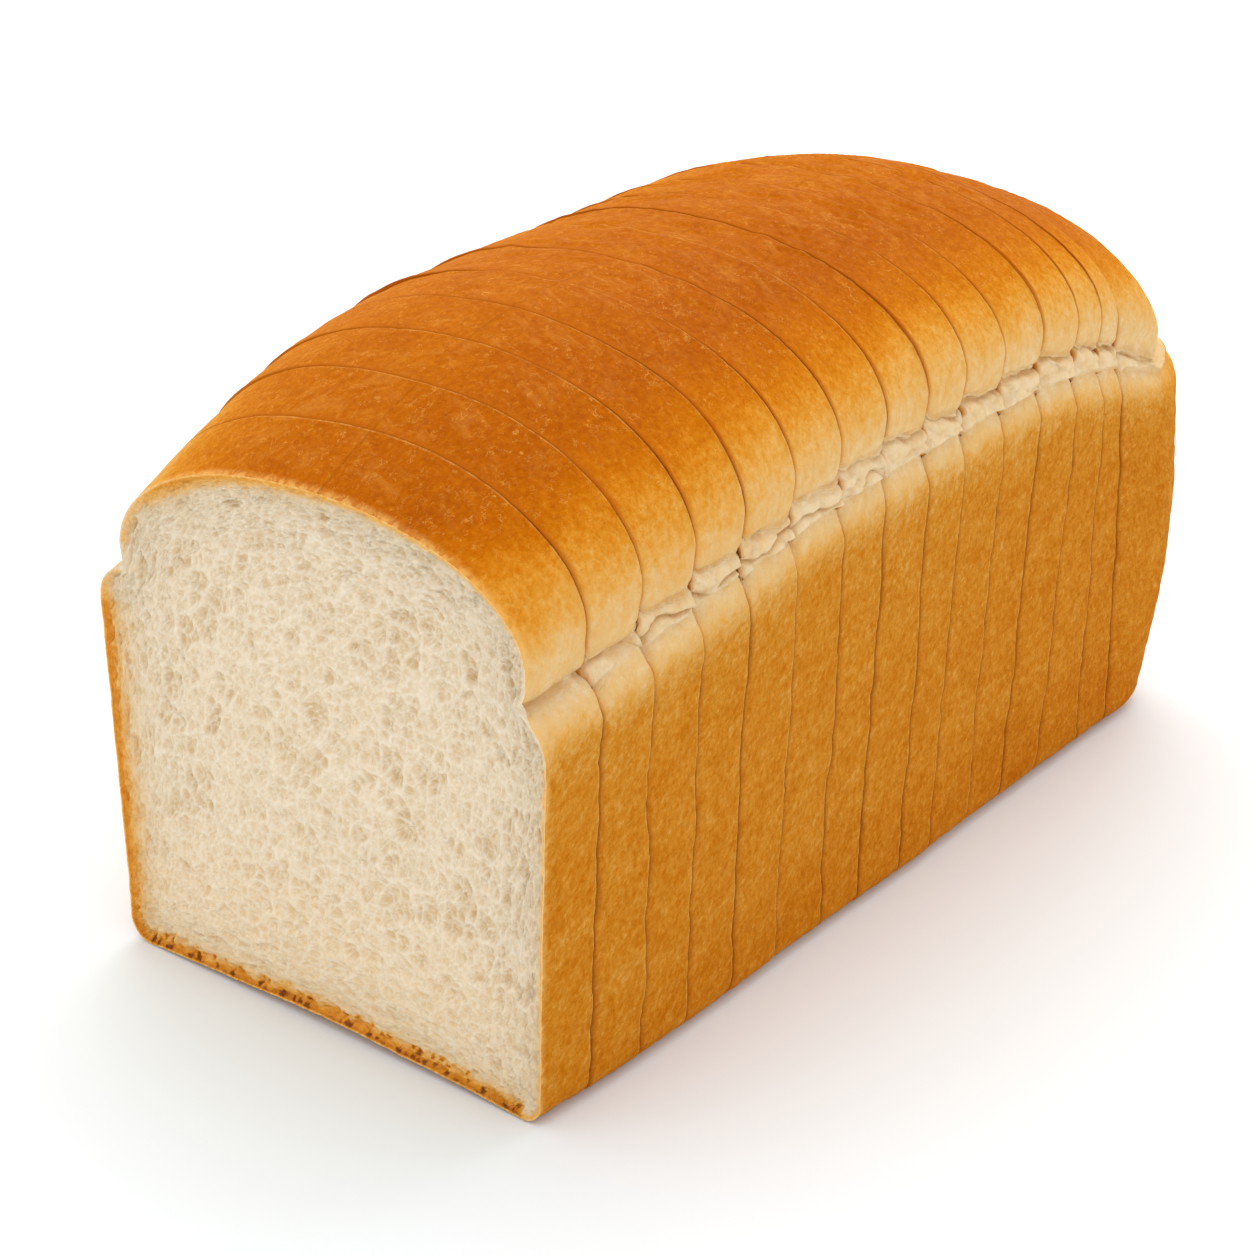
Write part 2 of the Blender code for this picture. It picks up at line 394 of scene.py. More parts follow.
                stop[rows] = back * (1.0 - math.cos(start) * (1.0 - s))
            else:
                lip_z, rise = self.lip_height(along[rows], lift[rows])
                if part is Stretch.LIP:
                    half[rows] = notch[rows] + self.break_inset * np.sin(quarter)
                    height[rows] = lip_z - rise * np.cos(quarter)
                    shift[rows] = lip_shift * np.sin(quarter)
                    more = self.end_crown_set_back - self.end_shoulder_set_back
                    stop[rows] = self.end_shoulder_set_back + more * np.sin(quarter)
                else:
                    across, up = self.crown_curve(s)
                    half[rows] = widest[rows] * across
                    height[rows] = lip_z + (self.crown_top(along[rows]) - lip_z) * up
                    shift[rows] = lip_shift + (self.crown_shift - lip_shift) * up
                    stop[rows] = self.end_crown_set_back
        return half, height, shift, stop


@dataclass(frozen=True)
class Cut:
    """One cut of the slicer: nearly a plane, with kinks where the blade wandered."""

    place: float
    lean: float = 0.0  # degrees back from upright
    turn: float = 0.0  # degrees about the vertical, right side back
    opening: float = 0.0  # how far the slices stand apart here
    wander: float = 1.0
    seed: int = 0
    still_height: float = 50.0  # the cut leans and turns about this height and this x
    still_x: float = 40.0
    # The blade's kinks: how far they reach, how far apart they are, and a step of the seed
    wall_kinks: tuple[tuple[float, float, int], ...] = ((0.7, 13.0, 0), (0.36, 4.4, 5),
                                                        (0.12, 1.5, 7))
    crown_kinks: tuple[tuple[float, float, int], ...] = ((0.30, 19.0, 9), (0.08, 4.3, 13))
    gap_spacing: float = 6.5
    least_gap: float = 0.045

    def along(self, x: Array, z: Array) -> Array:
        """Where the middle of the cut lies along the loaf.

        Args:
            x, z: Places across the loaf and up it.

        Returns:
            The cut's place at each.
        """
        plain = (self.place + math.tan(math.radians(self.lean)) * (z - self.still_height)
                 + math.tan(math.radians(self.turn)) * (x - self.still_x))
        on_crown = smooth(z, 85.0, 105.0)
        up_wall = z + 0.35 * x
        over_crown = x - 0.2 * z
        on_wall, on_top = (
            sum(reach * kinked(places, spacing, self.seed + step)
                for reach, spacing, step in kinks)
            for places, kinks in ((up_wall, self.wall_kinks), (over_crown, self.crown_kinks)))
        return plain + self.wander * (on_wall * (1.0 - on_crown) + on_top * on_crown)

    def half_gap(self, x: Array, z: Array) -> Array:
        """Half the gap between the two slices at each place, uneven along the cut.

        Args:
            x, z: Places across the loaf and up it.

        Returns:
            The half gap at each.
        """
        uneven = 0.5 + 0.5 * kinked(z + 0.8 * x, self.gap_spacing, self.seed + 21)
        on_crown = smooth(z, 75.0, 105.0)
        tight = 1.0 - on_crown * (0.5 + 0.3 * smooth(-x, -10.0, 40.0))
        widened = 0.6 * self.opening * tight * uneven ** 2
        return self.least_gap - 0.02 * on_crown + widened


@dataclass(frozen=True)
class Slicing:
    """Where the slicer cut the loaf."""

    kerf: float = 0.3
    thickness: tuple[float, ...] = (13.6, 13.9, 13.5, 14.0, 15.0, 16.4, 14.3, 14.8, 12.5,
                                    14.3, 14.5, 15.7, 14.5, 12.0)
    lean: tuple[float, ...] = (1.0, 0.2, 0.4, 0.2, 0.0, -0.5, 0.8, 0.3, 1.0, 1.0, 1.6, 1.2,
                               -2.5, -6.0)
    turn: tuple[float, ...] = (0.6, 0.3, 1.3, 2.0, 2.4, 0.8, -0.5, -0.6, 0.5, 2.0, 1.8, 0.5,
                               0.5, -3.0)
    opening: tuple[float, ...] = (0.10, 0.12, 0.14, 0.12, 0.14, 0.16, 0.15, 0.15, 0.13, 0.16,
                                  0.15, 0.26, 0.12, 0.42)
    # How far the dough tore open between shoulder and crown, on the right of each piece
    tear: tuple[float, ...] = (0.2, 0.9, 2.6, 4.2, 3.8, 4.4, 4.2, 4.0, 3.6, 3.9, 4.0, 4.2, 3.8,
                               3.2, 1.2)

    def cuts(self) -> list[Cut]:
        """The open cut face and then every cut between two pieces.

        Returns:
            The cuts, front to back.
        """
        found = [Cut(place=0.0, wander=0.0, seed=3)]
        place = 0.0
        for number, thickness in enumerate(self.thickness):
            place += thickness
            found.append(Cut(place=place - 0.5 * self.kerf, lean=self.lean[number],
                             turn=self.turn[number], opening=self.opening[number],
                             seed=100 + 37 * number))
        return found


# --- the skin's relief and browning --------------------------------------------------


@dataclass
class TornBreak:
    """The break on one side of one piece, where the dough tore as the crown rose.

    Sizes are in millimetres. The tear is packed with soft stubs of dough, with a crease where
    they meet the shoulder and a fainter one under the crown's lip.
    """

    start: float
    end: float
    tear: float
    seed: int
    stub_run: float = 6.2
    stub_up: float = 4.8
    fills: float = 0.9  # how far the torn dough fills the notch
    stubs_stand: float = 1.7
    crease_deep: float = 1.5
    crease_half: float = 0.45

    def lift(self, run: Array) -> Array:
        """How far the crown's lip is lifted off the shoulder.

        Args:
            run: How far each place is along the break.

        Returns:
            The lift at each place.
        """
        points = np.stack([run.ravel(), 0 * run.ravel(), 0 * run.ravel()], -1)
        uneven = grain(points, 5.5, self.seed + 1) + 0.5 * grain(points, 1.9, self.seed + 2)
        share = (run - self.start) / (self.end - self.start)
        slope = 1.18 - 0.5 * share
        return np.maximum(0.0, self.tear * slope + 0.75 * uneven.reshape(run.shape) + 0.25)

    def relief(self, run: Array, up: Array, lift: Array) -> tuple[Array, Array]:
        """How far the torn dough stands out at each place, and how deep in a crease it is.

        Args:
            run: How far each place is along the break.
            up: How far it is above the shoulder.
            lift: How far the lip is lifted there.

        Returns:
            The stand in millimetres, and the crease from 0 to 1.
        """
        flat = np.stack([run, up, 0.0 * run], -1)
        warp = grain(flat, 3.4, self.seed + 3)
        cells = np.stack([run / self.stub_run + 0.3 * warp + 0.12 * up,
                          up / self.stub_up + 0.3 * grain(flat, 2.6, self.seed + 4)], -1)
        inside, draw, heart = packed_cells(cells, self.seed + 5)
        dome = np.sqrt(np.clip(1.0 - (heart / 0.78) ** 2, 0.0, 1.0))
        stand = self.fills + self.stubs_stand * (0.7 + 0.6 * draw) * dome
        middle = np.stack([run, 0.0 * run, 0.0 * run], -1)
        low_line = 0.6 + 1.3 * grain(middle, 4.6, self.seed + 8)
        toward_back = float(smooth(np.array(0.5 * (self.start + self.end)), 60.0, 130.0))
        low = (1.0 - 0.8 * toward_back) * np.exp(-((up - low_line) / self.crease_half) ** 2)
        high_line = lift + 0.2 + 0.6 * warp
        high = (0.35 + 0.65 * toward_back) * np.exp(
            -((up - high_line) / (1.3 * self.crease_half)) ** 2)
        crease = np.maximum(low, high)
        between = 0.35 * (1.0 - np.clip(inside / 0.2, 0.0, 1.0))
        return stand - self.crease_deep * crease, np.maximum(crease, between)


@dataclass(frozen=True)
class Browning:
    """How far each place is baked, from 0, torn white crumb, to 1, the darkest crown."""

    # Height over the break along the skin, and how far it is baked
    crown_rise: tuple[float, ...] = (0, 3, 8, 12, 16, 20, 25, 30, 36, 46, 60, 75)
    crown_bake: tuple[float, ...] = (0.06, 0.08, 0.11, 0.15, 0.22, 0.31, 0.44, 0.6, 0.75, 0.91,
                                     0.89, 0.8)
    wall_drop: tuple[float, ...] = (0, 2, 5, 8, 11, 14, 20, 30, 70, 90)
    wall_bake: tuple[float, ...] = (0.03, 0.06, 0.13, 0.24, 0.34, 0.4, 0.44, 0.46, 0.47, 0.55)
    # painted light: the crown's left side is made paler, for light from the left and back and a
    # grazing sheen
    left_painted_light: float = 0.28
    back_crown_paler: float = 0.13
    back_wall_darker: float = 0.08
    end_shoulder_shift: float = 6.0  # the end piece's shoulder is browned this much higher

    def bake(self, rise: Array, along: Array, points: Array) -> Array:
        """How far the crust is baked at each place; on the crown's left side it also holds painted
        light.

        Args:
            rise: Height over the break along the skin.
            along: Place along the loaf.
            points: Places in the frame.

        Returns:
            The bake, from 0 to 1.
        """
        streaks = grain(points, (14.0, 2.2, 14.0), 71) + 0.6 * grain(points, (7.0, 0.9, 7.0), 72)
        broad = grain(points, 17.0, 73)
        moved = rise + np.where(rise > 0, 0.5 * streaks + 2.6 * broad, 0.7 * streaks + 0.8 * broad)
        toward_back = smooth(along, 110.0, 200.0)
        crown = np.interp(moved, self.crown_rise, self.crown_bake)
        crown *= 1.0 - self.back_crown_paler * toward_back
        # painted light: paler on the crown's left side
        crown *= 1.0 - self.left_painted_light * smooth(-points[:, 0], -5.0, 35.0)
        drop = self.end_shoulder_shift * smooth(along, 208.0, 222.0) - moved
        wall = np.interp(drop, self.wall_drop, self.wall_bake)
        return np.where(rise > 0, crown, wall * (1.0 + self.back_wall_darker * toward_back))


@dataclass(frozen=True)
class Skin:
    """The relief that baking leaves all over the crust, in millimetres."""

    # Each layer of grain: its height, its size and its seed
    broad: tuple[tuple[float, float, int], ...] = ((0.30, 31.0, 11), (0.10, 9.0, 12))
    fine: tuple[tuple[float, float, int], ...] = ((0.06, 2.3, 13), (0.03, 1.1, 14))
    wrinkle_high: float = 0.34
    pleat_high: float = 0.16
    dent_high: float = 0.12
    rough_high: float = 0.09

    def relief(self, points: Array, rise: Array, along: Array) -> Array:
        """How far the crust stands out at each place.

        Args:
            points: Places on the skin.
            rise: How far each is up the skin from the break.
            along: How far each is along the loaf.

        Returns:
            The relief at each place.
        """
        broad, fine = (sum(high * grain(points, size, seed) for high, size, seed in layers)
                       for layers in (self.broad, self.fine))
        on_top = smooth(rise, 30.0, 55.0) * smooth(along, 45.0, 100.0)
        turned = np.stack([points[:, 0] + 0.5 * points[:, 1], points[:, 1] - 0.35 * points[:, 0],
                           points[:, 2]], -1)
        folds = 1.0 - np.abs(grain(turned, (11.0, 3.6, 11.0), 15)) * 2.0
        wrinkles = self.wrinkle_high * folds * on_top
        pleats = grain(points, (9.0, 1.3, 9.0), 16) + 0.6 * grain(points, (5.0, 2.4, 5.0), 18)
        near_break = smooth(rise, -11.0, -5.0) * (1.0 - smooth(rise, 0.5, 3.0))
        dents = self.dent_high * grain(points, (40.0, 5.0, 7.0), 17) * (rise < -10)
        rough = self.rough_high * grain(points, (2.0, 1.4, 1.6), 19) * (rise < -4)
        drawn = self.pleat_high * pleats * near_break
        return broad + fine + wrinkles + drawn + dents + rough


# --- meshes --------------------------------------------------------------------------


def only(piece: bpy.types.Object) -> None:
    """Select one object and nothing else.

    Args:
        piece: The object.
    """
    bpy.ops.object.select_all(action="DESELECT")
    piece.select_set(True)
    bpy.context.view_layer.objects.active = piece


def blank(name: str, across: int, up: int) -> tuple[bpy.types.Object, Array]:
    """A flat grid to be shaped.

    Args:
        name: The piece's name.
        across: Number of faces one way.
        up: Number of faces the other way.

    Returns:
        The grid, and for each vertex its whole-number place (across, up).
    """
    bpy.ops.object.select_all(action="DESELECT")
    bpy.ops.mesh.primitive_grid_add(x_subdivisions=across, y_subdivisions=up, size=1.0,
                                    calc_uvs=False)
    sheet = bpy.context.object
    sheet.name = name
    sheet.data.name = name
    flat = get_points(sheet.data)
    places = np.stack([(flat[:, 0] + 0.5) * across, (flat[:, 1] + 0.5) * up], -1)
    return sheet, np.rint(places).astype(int)


def get_points(mesh: bpy.types.Mesh) -> Array:
    """The vertices' places, in the mesh's own unit.

    Args:
        mesh: The mesh.

    Returns:
        One row for each vertex.
    """
    flat = np.zeros(len(mesh.vertices) * 3, np.float32)
    mesh.vertices.foreach_get("co", flat)
    return flat.reshape(-1, 3).astype(float)


def set_points(mesh: bpy.types.Mesh, points: Array) -> None:
    """Move the vertices, given in the mesh's own unit."""
    mesh.vertices.foreach_set("co", points.astype(np.float32).ravel())
    mesh.update()


def get_normals(mesh: bpy.types.Mesh) -> Array:
    """The vertices' outward directions.

    Args:
        mesh: The mesh.

    Returns:
        One row for each vertex.
    """
    flat = np.zeros(len(mesh.vertices) * 3, np.float32)
    mesh.vertex_normals.foreach_get("vector", flat)
    return flat.reshape(-1, 3).astype(float)


def put(mesh: bpy.types.Mesh, name: str, values: Array) -> None:
    """Store one value for each vertex."""
    layer = mesh.attributes.get(name) or mesh.attributes.new(name, "FLOAT", "POINT")
    layer.data.foreach_set("value", np.ascontiguousarray(values, np.float32))


def take(mesh: bpy.types.Mesh, name: str) -> Array:
    """Read one value for each vertex.

    Args:
        mesh: The mesh.
        name: The attribute's name.

    Returns:
        The values.
    """
    values = np.zeros(len(mesh.vertices), np.float32)
    mesh.attributes[name].data.foreach_get("value", values)
    return values.astype(float)


def ring_layout(counts: dict[Stretch, int]) -> tuple[Array, Array, Array]:
    """The closed outline's stretch, share and side at each vertex.

    It runs from under the middle up the right side to the ridge and down the left side. The
    last point meets the first.

    Args:
        counts: How many steps each stretch has.

    Returns:
        Stretch, share along it and side, 1 or -1, at each vertex.
    """
    stretch, share = [], []
    for part, count in counts.items():
        stretch += [part] * count
        share += [i / count for i in range(count)]
    stretch.append(Stretch.CROWN)
    share.append(1.0)
    half_stretch, half_share = np.array(stretch), np.array(share)
    side = np.concatenate([np.ones(len(share)), -np.ones(len(share) - 1)])
    return (np.concatenate([half_stretch, half_stretch[-2::-1]]),
            np.concatenate([half_share, half_share[-2::-1]]), side)


def stations(thickness: float, step: float, rim: Sequence[float]) -> Array:
    """Places through a slice from cut to cut, closer together near both rims, as shares.

    Args:
        thickness: The slice's thickness.
        step: About how far apart the inner places are.
        rim: How far in the places near each cut are.

    Returns:
        Shares of the thickness, front to back.
    """
    middle = max(4, round((thickness - 2 * rim[-1]) / step))
    inner = np.linspace(rim[-1], thickness - rim[-1], middle + 1)[1:-1]
    near = np.array(rim)
    return np.concatenate([near, inner, thickness - near[::-1]]) / thickness


def set_where(piece: bpy.types.Object, mask: Array) -> None:
    """Enter edit mode with just these vertices, and the edges between them, selected.

    Args:
        piece: The object.
        mask: True for each vertex to select.
    """
    only(piece)
    mesh = piece.data
    bpy.ops.object.mode_set(mode="EDIT")
    bpy.ops.mesh.select_mode(type="VERT")
    bpy.ops.mesh.select_all(action="DESELECT")
    bpy.ops.object.mode_set(mode="OBJECT")
    mesh.vertices.foreach_set("select", mask.astype(bool))
    bpy.ops.object.mode_set(mode="EDIT")


def merge_doubles(piece: bpy.types.Object, distance: float = 0.002) -> None:
    """Close the seams where a blank's edges meet, with the distance in millimetres.

    Args:
        piece: The object.
        distance: How close doubles are.
    """
    only(piece)
    bpy.ops.object.mode_set(mode="EDIT")
    bpy.ops.mesh.select_all(action="SELECT")
    bpy.ops.mesh.remove_doubles(threshold=distance * MM)
    bpy.ops.mesh.normals_make_consistent(inside=False)
    bpy.ops.object.mode_set(mode="OBJECT")


# --- the open crumb ------------------------------------------------------------------


@dataclass(frozen=True)
class RimBand:
    """The crust as a band round a cut face: its depth, its bake, and its wheaten halo."""

    deep: float
    strong: float
    halo: float
    halo_deep: float = 2.6


@dataclass(frozen=True)
class CrustRim:
    """How the crust shows round a cut face, in millimetres."""

    bands: dict[Stretch, RimBand] = field(default_factory=lambda: {
        Stretch.BASE: RimBand(4.0, 0.66, 0.3, 6.0),
        Stretch.CORNER: RimBand(3.4, 0.56, 0.34, 6.0),
        Stretch.WALL: RimBand(3.0, 0.34, 0.46, 5.5),
        Stretch.SHOULDER: RimBand(2.6, 0.3, 0.36, 5.0),
        Stretch.TORN: RimBand(1.0, 0.1, 0.08, 3.0),
        Stretch.LIP: RimBand(2.4, 0.22, 0.2, 4.0),
        Stretch.CROWN: RimBand(4.6, 0.4, 0.3, 5.0)})
    holes: float = 1.8  # size of the burnt holes in the base's crust
    thinner: float = 0.5  # the crust's band narrows this much toward the right
    thinner_from: tuple[float, float] = (-40.0, 30.0)

    def toast(self, depth: Array, stretch: Array, points: Array) -> Array:
        """How far each place on a cut face is baked.

        Args:
            depth: How far in from the rim each place is.
            stretch: The rim's stretch there.
            points: The places.

        Returns:
            The bake, 0 to 1.
        """
        kinds = stretch.astype(int)
        deep, strong, halo, halo_deep = (
            np.array([getattr(self.bands[part], name) for part in Stretch])[kinds]
            for name in ("deep", "strong", "halo", "halo_deep"))
        thinner = np.interp(points[:, 0], self.thinner_from, (1.0, self.thinner))
        thinner = np.where(kinds == Stretch.BASE, 1.0, thinner)
        deep, halo_deep = deep * thinner, halo_deep * thinner
        uneven = 1.0 + 0.24 * grain(points, 3.1, 91) + 0.2 * grain(points, 1.1, 92)
        into = np.clip(1.0 - depth / (deep * np.maximum(0.3, uneven)), 0.0, 1.0)
        skin = into ** 1.6
        inside, draw, _ = packed_cells(points[:, [0, 2]] / self.holes, 93)
        burnt = smooth(inside, 0.22, 0.5) * smooth(draw, 0.45, 0.6) * (kinds == Stretch.BASE)
        burnt *= smooth(into, 0.05, 0.3) * smooth(depth, 0.2, 0.5)
        baked = strong * skin + halo * thinner * np.exp(-depth / halo_deep)
        return np.clip(baked + 0.5 * burnt, 0.0, 1.0)


@dataclass
class CrumbFace:
    """The foam of the loaf's open cut face: cells flattened toward the crust."""

    outline: Array
    seed: int = 5
    squeeze: float = 8.0  # how hard the cells are pushed up against the crust
    squeeze_reach: float = 20.0
    squeeze_soft: float = 2.5
    cell_sizes: tuple[float, ...] = (7.6, 4.8, 3.0)
    cell_depths: tuple[float, ...] = (1.1, 0.65, 0.3)
    rareness: tuple[float, ...] = (3.0, 1.5, 1.0)  # how few of the cells are deep

    def __post_init__(self) -> None:
        """Learn the outline's directions."""
        self.tree = kdtree.KDTree(len(self.outline))
        for index, (x, z) in enumerate(self.outline):
            self.tree.insert((x, z, 0.0), index)
        self.tree.balance()
        ahead = np.roll(self.outline, -1, axis=0) - self.outline
        self.inward = np.stack([-ahead[:, 1], ahead[:, 0]], -1)
        toward_heart = self.outline.mean(0) - self.outline
        if (self.inward * toward_heart).sum() < 0:
            self.inward = -self.inward

    def nearest(self, flat: Array) -> tuple[Array, Array]:
        """The outline's nearest place to each point and how far off it is.

        Args:
            flat: Places on the face.

        Returns:
            Indexes along the outline, and distances.
        """
        found = [self.tree.find((x, z, 0.0)) for x, z in flat]
        return (np.array([index for _, index, _ in found]),
                np.array([distance for _, _, distance in found]))

    def squeezed(self, flat: Array, skip: int = 4) -> Array:
        """Coordinates in which the cells that the crust flattened are round again.

        Args:
            flat: Places on the face.
            skip: One in so many of the outline's places pushes.

        Returns:
            The coordinates.
        """
        places = self.outline[::skip]
        whole = len(self.inward) // skip * skip
        inward = self.inward[:whole].reshape(-1, skip, 2).sum(1)
        places = places[:len(inward)]
        push = np.zeros_like(flat)
        for place, direction in zip(places, inward):
            reach = np.hypot(flat[:, 0] - place[0], flat[:, 1] - place[1])
            weight = np.exp(-reach / self.squeeze_reach) / np.hypot(reach, self.squeeze_soft)
            push += weight[:, None] * direction
        return flat - push * self.squeeze

    def foam(self, flat: Array) -> tuple[Array, Array]:
        """How deep each place lies in its pore, and how much it is a strand between pores.

        Args:
            flat: Places on the face.

        Returns:
            Pore depth and strand share at each.
        """
        points = np.stack([flat[:, 0], flat[:, 1], 0.0 * flat[:, 0]], -1)
        deep, strand = np.zeros(len(flat)), np.zeros(len(flat))
        for step, (size, most) in enumerate(zip(self.cell_sizes, self.cell_depths)):
            seed = self.seed + 50 * step
            warp = np.stack([grain(points, 1.6 * size, seed + 7),
                             grain(points, 1.6 * size, seed + 8)], -1)
            inside, draw, _ = packed_cells(flat / size + 0.42 * warp, seed)
            own = 0.22 + 0.78 * draw ** self.rareness[step]
            deep += most * own * smooth(inside, 0.0, 0.45)
            ridge = np.exp(-(inside * size / 0.45) ** 2)
            strand = np.maximum(strand, ridge * (0.5 + 0.5 * own))
        return deep, strand


# --- the pieces ----------------------------------------------------------------------

PLAIN_COUNTS = {Stretch.BASE: 50, Stretch.CORNER: 12, Stretch.WALL: 150, Stretch.SHOULDER: 22,
                Stretch.TORN: 14, Stretch.LIP: 14, Stretch.CROWN: 150}
OPEN_COUNTS = {Stretch.BASE: 141, Stretch.CORNER: 18, Stretch.WALL: 168, Stretch.SHOULDER: 24,
               Stretch.TORN: 6, Stretch.LIP: 14, Stretch.CROWN: 150}


@dataclass
class CrustPiece:
    """What every piece of the loaf shares: its outline, its breaks and its dressing."""

    node: str
    form: LoafForm
    front: Cut
    tears: dict[int, TornBreak]
    finishes: list[bpy.types.Material]
    relief_drop: float = 0.42  # the crust lies this far inside the bare outline
    rounds: tuple[float, ...] = (0.0, 0.08, 0.2, 0.36, 0.6, 1.0, 1.5)
    cap_rings: tuple[float, ...] = (0.985, 0.955, 0.55)
    middle_height: float = 60.0
    slip_share: float = 0.35  # how far it follows its solid's own small slip
    gap_shade_tint: float = 0.45  # painted shade colour: the hidden cut faces are tinted tan this far, so the shaded gaps between slices look warm
    gap_shade_tint_deep: float = 9.0
    skin: Skin = field(default_factory=Skin)
    browning: Browning = field(default_factory=Browning)
    rim: CrustRim = field(default_factory=CrustRim)

    def lift(self, side: Array, along: Array, from_cut: Array) -> Array:
        """How far the crown's lip stands above the shoulder, rounded off at the cuts.

        Args:
            side: -1 on the left and 1 on the right.
            along: Places along the loaf.
            from_cut: How far each is from a cut.

        Returns:
            The lift at each place.
        """
        right = self.tears[1].lift(along)
        left = self.tears[-1].lift(along)
        torn = np.where(side > 0, right, left)
        parted = np.exp(-(from_cut / 0.9) ** 2) * np.minimum(1.0, torn / 2.0)
        return torn + 0.8 * parted

    def store(self, mesh: bpy.types.Mesh, values: dict[str, Array]) -> None:
        """Keep the shaping values on the vertices through merging and closing."""
        for name, value in values.items():
            put(mesh, name, value)

    def press(self, piece: bpy.types.Object) -> None:
        """Give the closed crust its relief, its torn break and its rounded rims.

        Args:
            piece: The closed crust.
        """
        mesh = piece.data
        points = get_points(mesh) / MM
        normals = get_normals(mesh)
        rise, along = take(mesh, "rise"), take(mesh, "along")
        torn, fore, aft = take(mesh, "torn"), take(mesh, "fore"), take(mesh, "aft")
        side, up, run = take(mesh, "side"), take(mesh, "up"), take(mesh, "run")
        relief = self.skin.relief(points, rise, along) - self.relief_drop
        relief *= 1.0 - 0.75 * torn
        near_break = smooth(rise, -9.0, -3.0) * (1.0 - smooth(rise, 8.0, 15.0))
        on_wall = 1.0 - smooth(rise, -6.0, 2.0)
        shoulder_top = smooth(rise, -8.0, -1.5) * (1.0 - smooth(rise, 1.0, 3.0))
        rounding = rounded_off(fore, 0.5 + 0.8 * on_wall + 1.4 * near_break + 3.6 * shoulder_top,
                               0.18 + 0.24 * on_wall + 0.6 * near_break + 1.9 * shoulder_top)
        rounding += rounded_off(aft, 0.3 + 0.1 * on_wall + 1.9 * near_break,
                                0.1 + 0.04 * on_wall + 0.9 * near_break)
        stand, crease = np.zeros(len(points)), np.zeros(len(points))
        lift = take(mesh, "lift")
        for which, tear in self.tears.items():
            rows = (torn > 0.001) & (np.sign(side) == which)
            stand[rows], crease[rows] = tear.relief(run[rows], up[rows], lift[rows])
        shred = 0.12 * grain(points, (1.5, 1.0, 1.0), 31)
        push = (stand + shred) * torn
        out = np.stack([take(mesh, "out_x") * push, take(mesh, "out_y") * push, 0.0 * push], -1)
        from_rim = np.minimum(np.minimum(fore, aft), take(mesh, "fringe"))
        normals[:, 1] *= smooth(from_rim, 0.0, 2.0)
        points = self.keep_inside(points + normals * (relief - rounding)[:, None] + out)
        set_points(mesh, points * MM)
        put(mesh, "bake", self.browning.bake(rise, along, points) * (1.0 - 0.6 * torn))
        put(mesh, "crease", np.clip(torn * crease, 0.0, 1.0))

    @staticmethod
    def keep_inside(points: Array) -> Array:
        """Hold the relief within the loaf's box, and level where it rests."""
        low, high = (np.array(corner) / MM for corner in CAD_BOX)
        return np.clip(points, low + [0.02, 0.01, 0.0], high - 0.02)

    def dress(self, piece: bpy.types.Object) -> None:
        """Give the piece its finishes and its place in the frame.

        Args:
            piece: The finished crust.
        """
        for finish in self.finishes:
            piece.data.materials.append(finish)
        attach(piece, "root")
        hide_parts(self.node)
        LOG.info("%s: %d faces", piece.name, len(piece.data.polygons))

    def settle(self, points: Array) -> Array:
        """Slip the piece to where its solid lies in the frame, in millimetres.

        Args:
            points: The form's own places.

        Returns:
            The slipped places.
        """
        low, high = (np.array(corner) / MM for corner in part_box(self.node))
        middle = 0.5 * (points[:, 0].min() + points[:, 0].max())
        slip = self.slip_share * (0.5 * (low[0] + high[0]) - middle)
        points = points + [slip, FRONT_Y, 0.0]
        points[:, 2] *= 1.0 + self.slip_share * (high[2] / points[:, 2].max() - 1.0)
        return points

    def close_face(self, piece: bpy.types.Object, station: int, cut: Cut) -> None:
        """Draw one cut face in from its rim, ring by ring, to a point.

        Args:
            piece: The crust.
            station: The number of the face's rim.
            cut: The cut it lies in.
        """
        mesh = piece.data
        rim = np.rint(take(mesh, "station")).astype(int) == station
        rim[take(mesh, "depth") > 0.0] = False
        before = len(mesh.vertices)
        centre_y = float(get_points(mesh)[rim, 1].mean())
        set_where(piece, rim)
        reached = 1.0
        for scale in self.cap_rings:
            bpy.ops.mesh.extrude_region_move()
            bpy.ops.transform.resize(value=(scale / reached, 1.0, scale / reached),
                                     center_override=(0.0, centre_y, self.middle_height * MM))
            reached = scale
        bpy.ops.mesh.extrude_region_move()
        bpy.ops.mesh.merge(type="CENTER")
        bpy.ops.object.mode_set(mode="OBJECT")
        self.level_face(mesh, before, rim, cut, station)

    def level_face(self, mesh: bpy.types.Mesh, before: int, rim: Array, cut: Cut,
                   station: int) -> None:
        """Lay the inner rings on the plain cut, and note how deep in the crumb they are.

        Args:
            mesh: The crust's mesh.
            before: How many vertices it had without the face.
            rim: True for the rim's vertices.
            cut: The cut it lies in.
            station: The number of the rim.
        """
        points = get_points(mesh) / MM
        new = np.arange(len(points)) >= before
        outline = points[:before][rim[:before]]
        tree = kdtree.KDTree(len(outline))
        for index, (x, _, z) in enumerate(outline):
            tree.insert((x, z, 0.0), index)
        tree.balance()
        stretch = take(mesh, "stretch")
        rim_stretch = stretch[:before][rim[:before]]
        found = [tree.find((x, z, 0.0)) for x, _, z in points[new]]
        depth = take(mesh, "depth")
        depth[new] = [max(0.05, distance) for _, _, distance in found]
        near = np.array([rim_stretch[index] for _, index, _ in found])
        plain = Cut(place=cut.place, lean=cut.lean, turn=cut.turn, wander=0.0)
        sign = 1.0 if station == 0 else -1.0
        level = plain.along(points[new, 0], points[new, 2]) + sign * 0.09
        points[new, 1] = level + FRONT_Y
        set_points(mesh, points * MM)
        bake = take(mesh, "bake")
